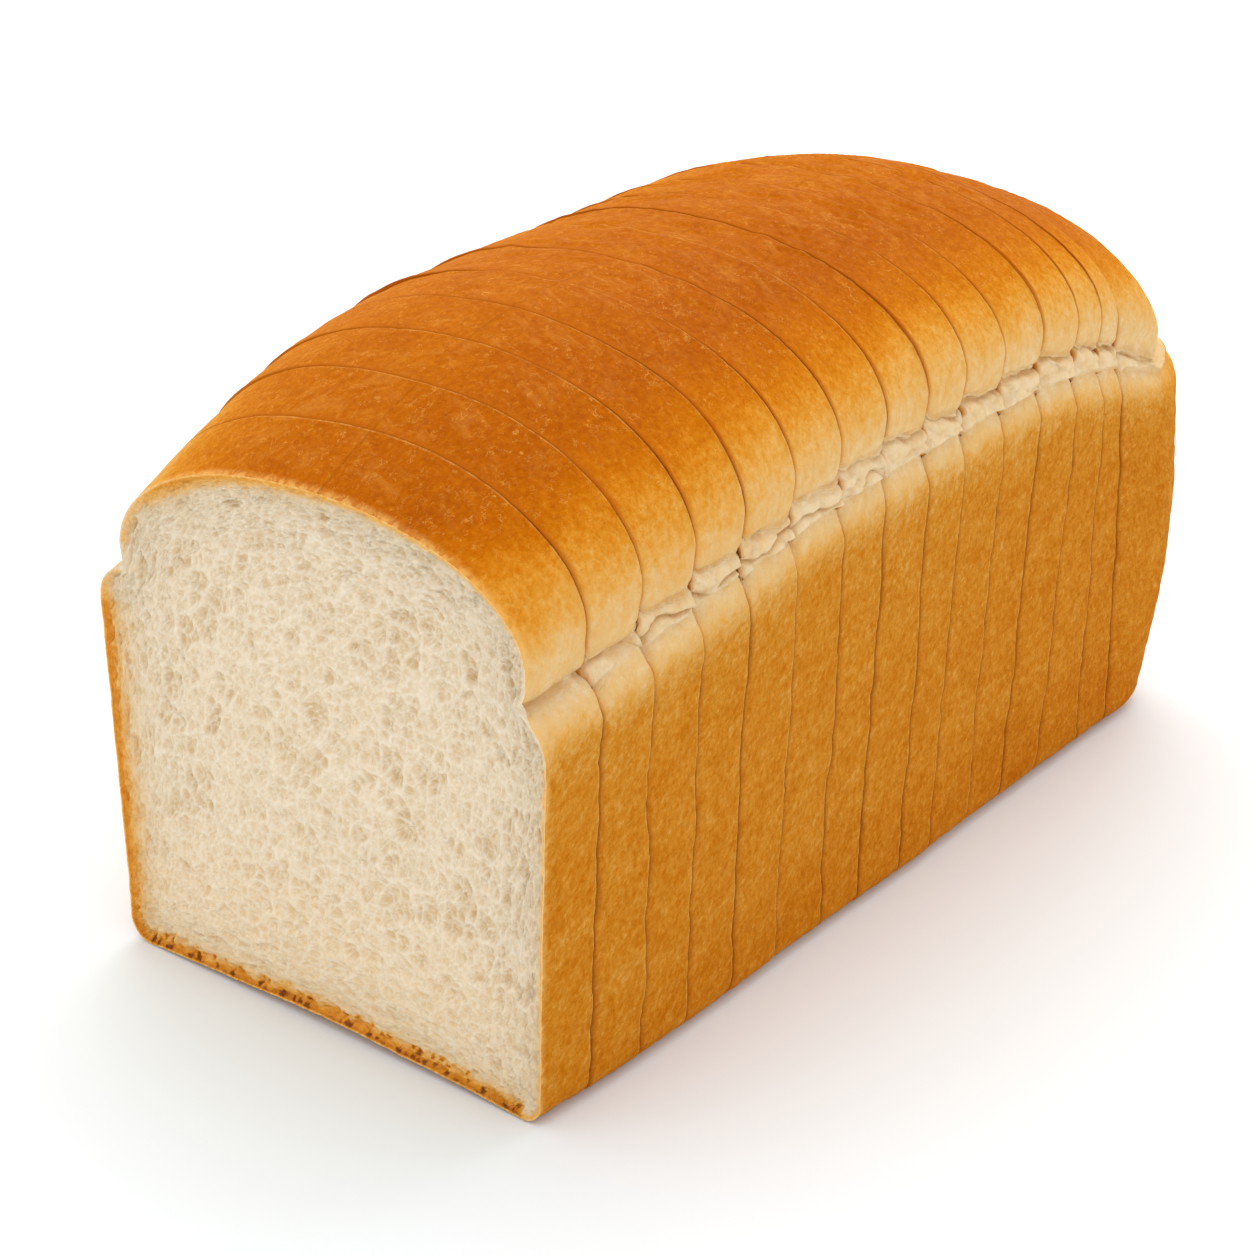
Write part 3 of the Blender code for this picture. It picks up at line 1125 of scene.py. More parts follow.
        # painted shade colour: tint the hidden faces so the gaps between slices look warm in their
        # shade
        bake[new] = np.maximum(self.rim.toast(depth[new], near, points[new]),
                               self.gap_shade_tint * np.exp(-depth[new] / self.gap_shade_tint_deep))
        for name, value in (("depth", depth), ("bake", bake), ("foam_x", points[:, 0]),
                            ("foam_z", points[:, 2])):
            put(mesh, name, value)


def rounded_off(distance: Array, radius: Array, deep: Array) -> Array:
    """How far an edge is rounded in at each distance from it."""
    into = np.clip(1.0 - distance / radius, 0.0, 1.0)
    return deep * (1.0 - np.sqrt(1.0 - into ** 2))


def skin_values(ring: Array, stretch: Array, side: Array) -> dict[str, Array]:
    """Each point's place on the skin, measured along it.

    Args:
        ring: Points as outline places by stations by three.
        stretch: The stretch of each outline place.
        side: The side of each outline place.

    Returns:
        rise over the break along the skin, and up over the shoulder.
    """
    steps = np.linalg.norm(np.diff(ring, axis=0), axis=2)
    travel = np.concatenate([np.zeros((1, ring.shape[1])), np.cumsum(steps, 0)])
    right = np.flatnonzero((stretch == Stretch.TORN) & (side > 0))[0]
    left = np.flatnonzero((stretch == Stretch.TORN) & (side < 0))[-1]
    rise = np.where(side[:, None] > 0, travel - travel[right], travel[left] - travel)
    low = np.where(side > 0, right, left)
    up = ring[:, :, 2] - ring[low, :, 2]
    return {"rise": rise, "up": up}


def torn_share(stretch: Array, share: Array) -> Array:
    """1 in the torn break, fading out over the shoulder's top and the lip's underside.

    Args:
        stretch: Each place's stretch.
        share: How far along it the place is.

    Returns:
        The value at each place.
    """
    torn = (stretch == Stretch.TORN).astype(float)
    torn += (stretch == Stretch.SHOULDER) * smooth(share, 0.75, 1.0)
    torn += (stretch == Stretch.LIP) * (1.0 - smooth(share, 0.0, 0.4))
    return torn


@dataclass
class LoafSlice(CrustPiece):
    """One slice: a band of crust between two cuts, and its two cut faces."""

    back: Cut = field(default_factory=lambda: Cut(place=0.0))
    counts: dict[Stretch, int] = field(default_factory=lambda: dict(PLAIN_COUNTS))
    step: float = 0.52

    def band(self) -> tuple[Array, dict[str, Array]]:
        """The bare band of crust, outline places by stations by three, and its values.

        Returns:
            The ring of points and each value on it.
        """
        stretch, share, side = ring_layout(self.counts)
        thickness = self.back.place - self.front.place
        through = stations(thickness, self.step, self.rounds)[None, :]
        from_cut = np.minimum(through, 1.0 - through) * thickness * np.ones((len(side), 1))
        along = np.ones((len(side), 1)) * (self.front.place + thickness * through)
        sides = side[:, None] * np.ones_like(along)
        for _ in range(3):
            lift = self.lift(sides, along, from_cut)
            half, height, shift, _ = self.form.section(stretch, share, along, lift)
            x = sides * half + shift
            start = self.front.along(x, height) + self.front.half_gap(x, height)
            end = self.back.along(x, height) - self.back.half_gap(x, height)
            along = start + (end - start) * through
        ring = np.stack([x, along, height], -1)
        torn = torn_share(stretch, share)[:, None] * smooth(lift, 0.4, 1.6)
        values = skin_values(ring, stretch, side)
        zero = np.zeros_like(along)
        order = np.arange(len(side)) % (len(side) - 1)
        fore = thickness * through + zero
        values.update(along=along, run=along, torn=torn, fore=fore, aft=thickness - fore,
                      side=sides, out_x=sides, out_y=zero, stretch=stretch[:, None] + zero,
                      order=order[:, None] + zero, depth=zero, pit=zero, strand=zero,
                      lift=lift, fringe=zero + FAR_OFF)
        return ring, values

    def build(self) -> bpy.types.Object:
        """Shape the band, close its cut faces and dress it.

        Returns:
            The finished piece.
        """
        ring, values = self.band()
        rows, columns = ring.shape[:2]
        piece, places = blank(self.node.replace("slice", "crust"), rows - 1, columns - 1)
        picked = places[:, 0], places[:, 1]
        points = self.settle(ring[picked])
        set_points(piece.data, points * MM)
        values["station"] = np.arange(columns)[None, :] * np.ones((rows, 1))
        self.store(piece.data, {name: value[picked] for name, value in values.items()})
        merge_doubles(piece)
        self.press(piece)
        self.close(piece, columns)
        self.dress(piece)
        return piece

    def close(self, piece: bpy.types.Object, columns: int) -> None:
        """Close both cut faces.

        Args:
            piece: The band.
            columns: How many stations it has.
        """
        self.close_face(piece, 0, self.front)
        self.close_face(piece, columns - 1, self.back)
        finish_rims(piece, (0, columns - 1))


def finish_rims(piece: bpy.types.Object, rims: Sequence[int], crust_deep: float = 1.6) -> None:
    """Shade the crust and the cut faces smooth, with a sharp rim between them.

    Args:
        piece: The piece to finish.
        rims: The stations at which it was cut.
        crust_deep: How far in from the rim a parted cut still shows crust, in millimetres.
    """
    mesh = piece.data
    station = np.rint(take(mesh, "station")).astype(int)
    depth = take(mesh, "depth")
    set_where(piece, np.isin(station, rims) & (depth <= 0.0))
    bpy.ops.mesh.mark_sharp()
    bpy.ops.object.mode_set(mode="OBJECT")
    corners = np.zeros(len(mesh.loops), np.int32)
    mesh.loops.foreach_get("vertex_index", corners)
    starts = np.zeros(len(mesh.polygons), np.int32)
    mesh.polygons.foreach_get("loop_start", starts)
    deepest = np.maximum.reduceat(depth[corners], starts)
    lowest = np.minimum.reduceat(station[corners], starts)
    crumb = deepest > np.where(lowest < 0, 0.0, crust_deep)
    mesh.polygons.foreach_set("material_index", crumb.astype(np.int32))
    mesh.polygons.foreach_set("use_smooth", np.ones(len(mesh.polygons), bool))
    mesh.update()


def coons_patch(bottom: Array, top: Array, left: Array, right: Array) -> Array:
    """A sheet of points spread between four edges that meet at their ends.

    Args:
        bottom, top: Edges from left to right.
        left, right: Edges from bottom to top.

    Returns:
        The sheet, columns by rows by three.
    """
    u = np.linspace(0.0, 1.0, len(bottom))[:, None, None]
    v = np.linspace(0.0, 1.0, len(left))[None, :, None]
    sheet = (1 - v) * bottom[:, None] + v * top[:, None] + (1 - u) * left + u * right
    return sheet - ((1 - u) * (1 - v) * bottom[0] + u * (1 - v) * bottom[-1]
                    + (1 - u) * v * top[0] + u * v * top[-1])


def evened(sheet: Array, rounds: int = 260) -> Array:
    """Relax a sheet inside its edges until no part of it folds over another.

    Args:
        sheet: Points as columns by rows by two.
        rounds: How often it is relaxed.

    Returns:
        The relaxed sheet, with its edges as they were.
    """
    sheet = sheet.copy()
    for _ in range(rounds):
        along_u = 0.5 * (sheet[2:, 1:-1] - sheet[:-2, 1:-1])
        along_v = 0.5 * (sheet[1:-1, 2:] - sheet[1:-1, :-2])
        twist = 0.25 * (sheet[2:, 2:] - sheet[2:, :-2] - sheet[:-2, 2:] + sheet[:-2, :-2])
        alpha = (along_v ** 2).sum(-1, keepdims=True)
        gamma = (along_u ** 2).sum(-1, keepdims=True)
        beta = (along_u * along_v).sum(-1, keepdims=True)
        sides = alpha * (sheet[2:, 1:-1] + sheet[:-2, 1:-1])
        ends = gamma * (sheet[1:-1, 2:] + sheet[1:-1, :-2])
        sheet[1:-1, 1:-1] = (sides + ends - 2.0 * beta * twist) / (2.0 * (alpha + gamma))
    return sheet


@dataclass
class OpenSlice(LoafSlice):
    """The first slice, whose open cut face shows its crumb."""

    counts: dict[Stretch, int] = field(default_factory=lambda: dict(OPEN_COUNTS))
    step: float = 0.72
    rounds: tuple[float, ...] = (0.0, 0.15, 0.4, 0.8, 1.4)
    sag: float = 0.25

    def band(self) -> tuple[Array, dict[str, Array]]:
        """The band, whose front rim is an open edge and not one of two parted ones.

        Returns:
            The ring of points and each value on it.
        """
        ring, values = super().band()
        values["fringe"], values["fore"] = values["fore"], values["fringe"]
        return ring, values

    def close(self, piece: bpy.types.Object, columns: int) -> None:
        """Close the hidden face plainly and lay the open one as a fine sheet.

        Args:
            piece: The band.
            columns: How many stations it has.
        """
        self.close_face(piece, columns - 1, self.back)
        self.lay_open_face(piece)
        finish_rims(piece, (0, columns - 1))

    def lay_open_face(self, piece: bpy.types.Object) -> None:
        """Lay a fine sheet over the open cut and press its pores.

        Args:
            piece: The band, with its hidden face closed.
        """
        mesh = piece.data
        stretch, _, side = ring_layout(self.counts)
        rim = self.rim_in_order(mesh, len(side) - 1)
        ring = get_points(mesh)[rim] / MM
        total = len(ring)
        half_wide = self.counts[Stretch.CROWN]
        tall = total // 2 - 2 * half_wide
        index = np.arange(total)
        bottom = np.take(index, np.arange(-half_wide, half_wide + 1), mode="wrap")
        right = np.take(index, half_wide + np.arange(tall + 1), mode="wrap")
        top = np.take(index, half_wide + tall + np.arange(2 * half_wide, -1, -1), mode="wrap")
        left = np.take(index, -half_wide - np.arange(tall + 1), mode="wrap")
        sheet, places = blank("open_cut", 2 * half_wide, tall)
        grid = coons_patch(ring[bottom], ring[top], ring[left], ring[right])
        grid[:, :, (0, 2)] = evened(grid[:, :, (0, 2)])
        points = grid[places[:, 0], places[:, 1]]
        inner = ((places[:, 0] > 0) & (places[:, 0] < 2 * half_wide)
                 & (places[:, 1] > 0) & (places[:, 1] < tall))
        face = CrumbFace(outline=ring[:, [0, 2]])
        flat = points[:, [0, 2]]
        index, distance = face.nearest(flat)
        near = stretch[index]
        depth = np.where(inner, np.maximum(0.05, distance), 0.0)
        foam_place = face.squeezed(flat)
        for name, rim_place in zip(("foam_x", "foam_z"), face.squeezed(ring[:, [0, 2]]).T):
            values = np.zeros(len(mesh.vertices))
            values[rim] = rim_place
            put(mesh, name, values)
        pit, strand = face.foam(foam_place)
        fades = smooth(depth, 0.2, 1.6)
        wave = 0.10 * grain(points, 6.2, 42) + self.sag * grain(points, 24.0, 43)
        pressed = FRONT_Y + 0.05 + (0.3 + wave) * smooth(depth, 0.0, 2.2) + pit * fades
        points[:, 1] = np.where(inner, np.maximum(FRONT_Y, pressed), points[:, 1])
        set_points(sheet.data, points * MM)
        zero = np.zeros(len(points))
        kept = {name: take(mesh, name)[rim][index]
                for name in ("rise", "up", "along", "run", "aft", "torn", "crease")}
        beside = smooth(take(mesh, "bake")[rim], 0.1, 0.42)
        beside = sum(np.roll(beside, turn) for turn in range(-8, 9)) / 17.0
        toast = self.rim.toast(depth, near, points) * (0.45 + 0.55 * beside[index])
        kept.update({"station": zero - inner, "stretch": near.astype(float), "depth": depth,
                     "pit": pit * fades, "strand": strand, "fringe": zero, "fore": zero + FAR_OFF,
                     "foam_x": foam_place[:, 0], "foam_z": foam_place[:, 1], "bake": toast})
        self.store(sheet.data, kept)
        only(piece)
        sheet.select_set(True)
        bpy.ops.object.join()
        merge_doubles(piece, 0.004)

    @staticmethod
    def rim_in_order(mesh: bpy.types.Mesh, total: int) -> Array:
        """The open rim's vertices in the order of the outline.

        Args:
            mesh: The band's mesh.
            total: How many places the outline has.

        Returns:
            Vertex indexes.
        """
        station = np.rint(take(mesh, "station")).astype(int)
        order = take(mesh, "order")
        rim = np.flatnonzero((station == 0) & (take(mesh, "depth") <= 0.0))
        ranked = rim[np.argsort(order[rim])]
        if len(ranked) != total:
            raise ValueError(f"the open rim has {len(ranked)} places, not {total}")
        return ranked


@dataclass
class EndPiece(CrustPiece):
    """The round end piece: its wall runs round the far end under a crown that rolls over.

    Known fault: at the foot on the left the leaning cut leaves no straight stretch before the
    corner, so the columns fold back there, and the cut face isn't closed at its foot.
    """

    counts: dict[Stretch, int] = field(default_factory=lambda: {
        Stretch.CORNER: 8, Stretch.WALL: 118, Stretch.SHOULDER: 20, Stretch.TORN: 8,
        Stretch.LIP: 10})
    base_rows: int = 20
    side_steps: int = 16
    corner_steps: int = 50
    across_steps: int = 236
    skin_over_lip: float = 8.0
    lead_steps: float = 12.0
    crown_skin: float = 68.0

    def levels(self) -> tuple[Array, Array]:
        """The stretch and share of each level from the foot up to the lip.

        Returns:
            Both, one value for each level.
        """
        stretch, share = [], []
        for part, count in self.counts.items():
            stretch += [part] * count
            share += [i / count for i in range(count)]
        return np.array(stretch + [Stretch.LIP]), np.array(share + [1.0])

    def tear_lift(self, side: int, run: Array) -> Array:
        """How far the lip is lifted, closing toward the far end.

        Args:
            side: -1 on the left and 1 on the right.
            run: How far each place is along the break.

        Returns:
            The lift at each place.
        """
        tear = self.tears[side]
        into = run - tear.start
        return tear.lift(run) * (1.0 - smooth(into, 8.0, 34.0))

    def side_rows(self, side: int) -> dict[str, Array]:
        """Every level of one side, from the cut along the wall and round its corner.

        Args:
            side: -1 on the left and 1 on the right.

        Returns:
            Each level's width, place, run and outward direction.
        """
        form, (stretch, share) = self.form, self.levels()
        tear = self.tears[side]
        start = np.full((len(share), 1), self.front.place)
        for _ in range(3):
            half, height, shift, _ = form.section(
                stretch, share, start, self.tear_lift(side, start))
            x = side * half + shift
            start = self.front.along(x, height) + self.front.half_gap(x, height)
        far = np.full((len(share), 1), form.length)
        _, _, _, stop = form.section(stretch, share, far, 0.0 * far)
        end = form.length - stop
        extra = form.end_corner_extra * np.maximum(0.0, 1.0 - height / form.wall_height)
        bulge = np.sin(np.pi * np.clip(height / form.wall_height, 0.0, 1.0))
        end = end + 0.8 * bulge
        corner = np.minimum(form.end_corner_radius + extra - form.end_corner_bulge * bulge, half)
        straight = end - corner - start
        near = np.array(self.rounds)[None, :]
        even = np.arange(1, self.side_steps + 1)[None, :] / self.side_steps
        into = np.concatenate([near + 0.0 * start,
                               near[0, -1] + (straight - near[0, -1]) * even], 1)
        angle = 0.5 * np.pi * np.arange(1, self.corner_steps + 1)[None, :] / self.corner_steps
        bare = form.end_notch_fill * torn_share(stretch, share)[:, None]
        more = (form.end_wall_bulge * bulge * smooth(into, 0.0, 20.0)
                + bare * smooth(into, 3.0, 20.0))
        most = form.end_wall_bulge * bulge * smooth(straight, 0.0, 20.0) + bare
        wide = np.concatenate([half + more, half - corner * (1.0 - np.cos(angle))
                               + most * np.cos(angle)], 1)
        along = np.concatenate([start + into, end - corner * (1.0 - np.sin(angle))
                                + bare * np.sin(angle)], 1)
        run = tear.start + np.concatenate([into, straight + corner * angle], 1)
        out_x = np.concatenate([side + 0.0 * into, side * np.cos(angle) + 0.0 * start], 1)
        out_y = np.concatenate([0.0 * into, np.sin(angle) + 0.0 * start], 1)
        return {"wide": side * wide, "along": along, "run": run, "out_x": out_x, "out_y": out_y}

    def wall_rows(self) -> tuple[Array, dict[str, Array]]:
        """All the levels from the foot to the lip, right side round the end to the left.

        Returns:
            The points and each value on them.
        """
        stretch, share = self.levels()
        right, left = self.side_rows(1), self.side_rows(-1)
        middle_x = 0.5 * (right["wide"][:, -1:] + left["wide"][:, -1:])
        across = crown_shares(self.form, self.across_steps)[0][1:-1]
        even = np.linspace(1.0, -1.0, self.across_steps + 1)[1:-1]
        first = float(np.flatnonzero(stretch == Stretch.SHOULDER)[0])
        crownward = smooth(np.arange(len(stretch)), first, len(stretch) - 1.0)[:, None]
        across = even + (across - even) * crownward
        flat = middle_x + (right["wide"][:, -1:] - middle_x) * across
        ones = np.ones_like(flat)
        to_left = 0.5 - 0.5 * across
        turned = {name: right[name][:, -1:] * (1.0 - to_left) + left[name][:, -1:] * to_left
                  for name in ("along", "run")}
        turned.update(wide=flat, out_x=0.0 * ones, out_y=ones)
        joined = {name: np.concatenate([right[name], turned[name], left[name][:, ::-1]], 1)
                  for name in right}
        sides = np.sign(joined["wide"] + 1e-9)
        lift = np.where(sides > 0, self.tear_lift(1, joined["run"]),
                        self.tear_lift(-1, joined["run"]))
        _, height, shift, _ = self.form.section(stretch, share, joined["along"], lift)
        ring = np.stack([joined["wide"] + shift, joined["along"], height], -1)
        low = int(np.flatnonzero(stretch == Stretch.TORN)[0])
        steps = np.linalg.norm(np.diff(ring, axis=0), axis=2)
        travel = np.concatenate([np.zeros((1, ring.shape[1])), np.cumsum(steps, 0)])
        torn = torn_share(stretch, share)[:, None] * smooth(lift, 0.4, 1.6)
        columns = np.arange(ring.shape[1])
        from_rim = np.minimum(columns, columns[::-1])
        zero = np.zeros_like(height)
        return ring, {
            "rise": travel - travel[low], "up": height - height[low], "torn": torn,
            "along": joined["along"], "run": joined["run"], "side": sides,
            "out_x": joined["out_x"], "out_y": joined["out_y"],
            "fore": self.from_cut(from_rim) + zero,
            "aft": zero + FAR_OFF, "fringe": zero + FAR_OFF, "lift": lift,
            "station": np.minimum(1, from_rim) + zero, "stretch": stretch[:, None] + zero}

    def from_cut(self, places: Array) -> Array:
        """How far each numbered place is from the cut, or far off past the rounded rim."""
        near = np.interp(places, range(len(self.rounds)), self.rounds)
        return np.where(places < len(self.rounds), near, FAR_OFF)

    def base_grid(self, foot: Array, values: dict[str, Array]) -> tuple[Array, dict[str, Array]]:
        """The underside, from the middle of the cut's foot out to the foot of the wall.

        Args:
            foot: The wall's lowest row.
            values: The wall's values.

        Returns:
            The points and each value on them.
        """
        share = (np.arange(self.base_rows) / self.base_rows)[:, None, None]
        heart = 0.5 * (foot[0] + foot[-1])
        ring = heart + (foot - heart)[None] * share
        kept = {name: value[:1] + np.zeros((self.base_rows, 1)) for name, value in values.items()}
        kept["stretch"] = np.full(ring.shape[:2], float(Stretch.BASE))
        return ring, kept

    def led_in(self, plain: Array, lip: Array) -> Array:
        """Lead the crown's values over from those of the lip, so patterns run on unbroken.

        Args:
            plain: The crown's own value at each of its places.
            lip: The value at each place of the lip, right side round the end to the left.

        Returns:
            The crown's values, equal to the lip's where the two meet.
        """
        count, columns = plain.shape
        from_right = np.exp(-np.arange(columns) / self.lead_steps)[None, :]
        from_left = from_right[:, ::-1]
        from_end = np.exp(-np.arange(count)[::-1] / self.lead_steps)[:, None]
        total = np.maximum(1.0, from_right + from_left + from_end)
        right = (lip[:count] - plain[:, 0])[:, None]
        left = (lip[::-1][:count] - plain[:, -1])[:, None]
        end = (lip[count - 1:len(lip) - count + 1] - plain[-1])[None, :]
        return plain + (from_right * right + from_left * left + from_end * end) / total

    def crown_grid(self, lip: Array, values: dict[str, Array]) -> tuple[Array, dict[str, Array]]:
        """The crown, one outline from lip to lip for each place along the side.

        Args:
            lip: The wall's highest row.
            values: The wall's values.

        Returns:
            The points and each value on them.
        """
        form = self.form
        count = len(self.rounds) + self.side_steps + self.corner_steps
        across, up = (part[None, :] for part in crown_shares(form, self.across_steps))
        right, left = lip[:count], lip[::-1][:count]
        middle = 0.5 * (right[:, :1] + left[:, :1])
        share = 0.5 + 0.5 * across
        flat_y = left[:, 1:2] + (right[:, 1:2] - left[:, 1:2]) * share
        lip_z = left[:, 2:] + (right[:, 2:] - left[:, 2:]) * share
        stays = np.clip((flat_y - flat_y[:1]) / (flat_y[-1:] - flat_y[:1]), 0.0, 1.0)
        far = form.length - form.end_crown_set_back
        lean = (1.0 - form.lip_shift_share) * form.crown_shift
        y = flat_y
        for _ in range(4):
            into = np.clip(1.0 - (far - y) / form.end_crown_roll, 0.0, 1.0)
            rolled = up * np.sqrt(1.0 - into ** 2)
            z = lip_z + (form.crown_top(y) - lip_z) * rolled
            x = middle + (right[:, :1] - middle) * across + lean * rolled
            cut_y = (self.front.along(x[0], z[0]) + self.front.half_gap(x[0], z[0]))[None]
            y = flat_y + (1.0 - stays) * (cut_y - flat_y[:1])
        ring = np.stack([x, y, z], -1)
        ring[:, 0], ring[:, -1], ring[-1] = right, left, lip[count - 1:len(lip) - count + 1]
        full = np.clip((z - lip_z) / (form.crown_top(np.full_like(y, y[0].min())) - lip_z), 0, 1)
        angle = np.arcsin(full ** (0.5 * form.crown_squareness)) * 2.0 / np.pi
        rows = np.arange(count)[:, None]
        zero = np.zeros_like(z)
        rise = self.led_in(self.skin_over_lip + self.crown_skin * angle, values["rise"][-1])
        return ring, {
            "rise": rise, "up": zero + FAR_OFF, "torn": zero, "along": y,
            "run": self.led_in(y, values["run"][-1]), "side": np.sign(across + 1e-9) + zero,
            "out_x": np.sign(across + 1e-9) + zero, "out_y": zero,
            "fore": self.from_cut(rows) + zero,
            "aft": zero + FAR_OFF, "fringe": zero + FAR_OFF, "lift": zero,
            "station": np.minimum(1, rows) + zero,
            "stretch": np.full_like(z, float(Stretch.CROWN))}

    def build(self) -> bpy.types.Object:
        """Shape the wall, underside and crown, join them, and close the cut face.

        Returns:
            The finished piece.
        """
        wall, wall_values = self.wall_rows()
        base, base_values = self.base_grid(wall[0], wall_values)
        wall = np.concatenate([base, wall])
        wall_values = {name: np.concatenate([base_values[name], value])
                       for name, value in wall_values.items()}
        crown, crown_values = self.crown_grid(wall[-1], wall_values)
        together = self.settle(np.concatenate([wall.reshape(-1, 3), crown.reshape(-1, 3)]))
        wall_settled = together[:wall.shape[0] * wall.shape[1]].reshape(wall.shape)
        crown_settled = together[wall.shape[0] * wall.shape[1]:].reshape(crown.shape)
        piece = self.lay("crust_end", wall_settled, wall_values)
        cover = self.lay("crown_end", crown_settled, crown_values)
        only(piece)
        cover.select_set(True)
        bpy.ops.object.join()
        merge_doubles(piece, 0.01)
        self.press(piece)
        self.close_face(piece, 0, self.front)
        finish_rims(piece, (0,))
        self.dress(piece)
        return piece

    def lay(self, name: str, ring: Array, values: dict[str, Array]) -> bpy.types.Object:
        """Lay one grid of points.

        Args:
            name: The object's name.
            ring: The grid's points.
            values: Each value on them.

        Returns:
            The sheet.
        """
        sheet, places = blank(name, ring.shape[0] - 1, ring.shape[1] - 1)
        picked = places[:, 0], places[:, 1]
        set_points(sheet.data, ring[picked] * MM)
        zero = np.zeros(len(places))
        self.store(sheet.data, {key: value[picked] for key, value in values.items()})
        self.store(sheet.data, {"depth": zero, "pit": zero, "strand": zero})
        return sheet


def crown_shares(form: LoafForm, steps: int) -> tuple[Array, Array]:
    """Shares (across, up) of the crown's outline from its right lip over to its left."""
    across, up = form.crown_curve(np.arange(steps // 2 + 1) / (steps // 2))
    return np.concatenate([across, -across[-2::-1]]), np.concatenate([up, up[-2::-1]])


# --- finishes ------------------------------------------------------------------------

Source = bpy.types.NodeSocket | float | tuple


def add_node(material: bpy.types.Material, kind: str, inputs: dict[int | str, Source],
             **settings: object) -> bpy.types.Node:
    """Add a node with its settings, values and links.

    Args:
        material: The material it goes in.
        kind: The node's type name.
        inputs: A value or another node's output for each input.
        settings: The node's own settings.

    Returns:
        The new node.
    """
    node = material.node_tree.nodes.new(kind)
    for name, value in settings.items():
        setattr(node, name, value)
    for name, source in inputs.items():
        if isinstance(source, bpy.types.NodeSocket):
            material.node_tree.links.new(source, node.inputs[name])
        else:
            node.inputs[name].default_value = source
    return node


@dataclass(frozen=True)
class Shade:
    """A colour at a place on a ramp."""

    place: float
    colour: str


class Finish:
    """The start of a finish: a material and the ways of mixing its patterns."""

    def __init__(self, name: str) -> None:
        """Start an empty material.

        Args:
            name: The material's name.
        """
        self.material = bpy.data.materials.new(name)
        self.material.use_nodes = True
        self.shader = self.material.node_tree.nodes["Principled BSDF"]

    def node(self, kind: str, inputs: dict[int | str, Source],
             **settings: object) -> bpy.types.Node:
        """Add a node to this finish."""
        return add_node(self.material, kind, inputs, **settings)

    def value(self, attribute: str) -> bpy.types.NodeSocket:
        """A value stored on the mesh."""
        return self.node("ShaderNodeAttribute", {}, attribute_name=attribute).outputs["Fac"]

    def math(self, operation: str, first: Source, second: Source = 0.0,
             third: Source = 0.0) -> bpy.types.NodeSocket:
        """Work out a number."""
        inputs = {0: first, 1: second, 2: third}
        return self.node("ShaderNodeMath", inputs, operation=operation).outputs[0]

    def ease(self, source: Source, low: float, high: float, start: float = 0.0,
             end: float = 1.0) -> bpy.types.NodeSocket:
        """Ease a value from one range to another.

        Args:
            source: The value.
            low, high: The range it is eased over.
            start, end: What it becomes at either end.

        Returns:
            The eased value.
        """
        inputs = {"Value": source, "From Min": low, "From Max": high, "To Min": start,
                  "To Max": end}
        return self.node("ShaderNodeMapRange", inputs, interpolation_type="SMOOTHSTEP").outputs[0]

    def spots(self, where: Source, detail: float = 2.0, roughness: float = 0.5,
              distortion: float = 0.0) -> bpy.types.NodeSocket:
        """Cloudy spots of about one unit of the given coordinates.

        Args:
            where: The coordinates.
            detail: How many finer layers of spots.
            roughness: How strong those are.
            distortion: How far they swirl.

        Returns:
            Values from 0 to 1.
        """
        inputs = {"Vector": where, "Scale": 1.0, "Detail": detail, "Roughness": roughness,
                  "Distortion": distortion}
        return self.node("ShaderNodeTexNoise", inputs).outputs["Fac"]

    def cells(self, where: Source, feature: str = "F1") -> bpy.types.NodeSocket:
        """Distances to scattered points about one unit of the given coordinates apart."""
        inputs = {"Vector": where, "Scale": 1.0}
        return self.node("ShaderNodeTexVoronoi", inputs, feature=feature).outputs["Distance"]

    def ramp(self, source: Source, shades: Sequence[Shade]) -> bpy.types.NodeSocket:
        """Colours along a ramp.

        Args:
            source: The value, 0 to 1.
            shades: The colours along the ramp.

        Returns:
            The colour.
        """
        node = self.node("ShaderNodeValToRGB", {"Fac": source})
        points = node.color_ramp.elements
        while len(points) < len(shades):
            points.new(0.5)
        for point, shade in zip(points, shades):
            point.position = shade.place
        for point, shade in zip(points, shades):
            point.color = srgb(shade.colour)
        return node.outputs["Color"]

    def mix(self, share: Source, first: Source, second: Source,
            blend: str = "MIX") -> bpy.types.NodeSocket:
        """Mix two colours.

        Args:
            share: How much of the second.
            first, second: The colours.
            blend: How they mix.

        Returns:
            The colour.
        """
        inputs = {"Factor": share, 6: first, 7: second}
        node = self.node("ShaderNodeMix", {}, data_type="RGBA", blend_type=blend)
        for name, source in inputs.items():
            if isinstance(source, bpy.types.NodeSocket):
                self.material.node_tree.links.new(source, node.inputs[name])
            else:
                node.inputs[name].default_value = source
        return node.outputs[2]

    def stretched(self, where: Source, sizes: Sequence[float],
                  turn: float = 0.0) -> bpy.types.NodeSocket:
        """Coordinates in units of the given sizes, turned in their first plane.

        Args:
            where: The coordinates.
            sizes: The pattern's size along each.
            turn: The turn, in radians.

        Returns:
            The new coordinates.
        """
        turned = self.node("ShaderNodeMapping", {"Vector": where, "Rotation": (0.0, 0.0, turn)})
        scale = tuple(1.0 / size for size in sizes)
        inputs = {"Vector": turned.outputs[0], "Scale": scale}
        return self.node("ShaderNodeMapping", inputs).outputs[0]

    def on_skin(self) -> bpy.types.NodeSocket:
        """Millimetres along the skin: up from the break, along the loaf, and across it.

        Returns:
            The coordinates.
        """
        place = self.node("ShaderNodeTexCoord", {}).outputs["Object"]
        across = self.node("ShaderNodeSeparateXYZ", {0: place}).outputs["X"]
        inputs = {"X": self.value("rise"), "Y": self.value("run"),
                  "Z": self.math("MULTIPLY", across, 1.0 / MM)}
        return self.node("ShaderNodeCombineXYZ", inputs).outputs[0]

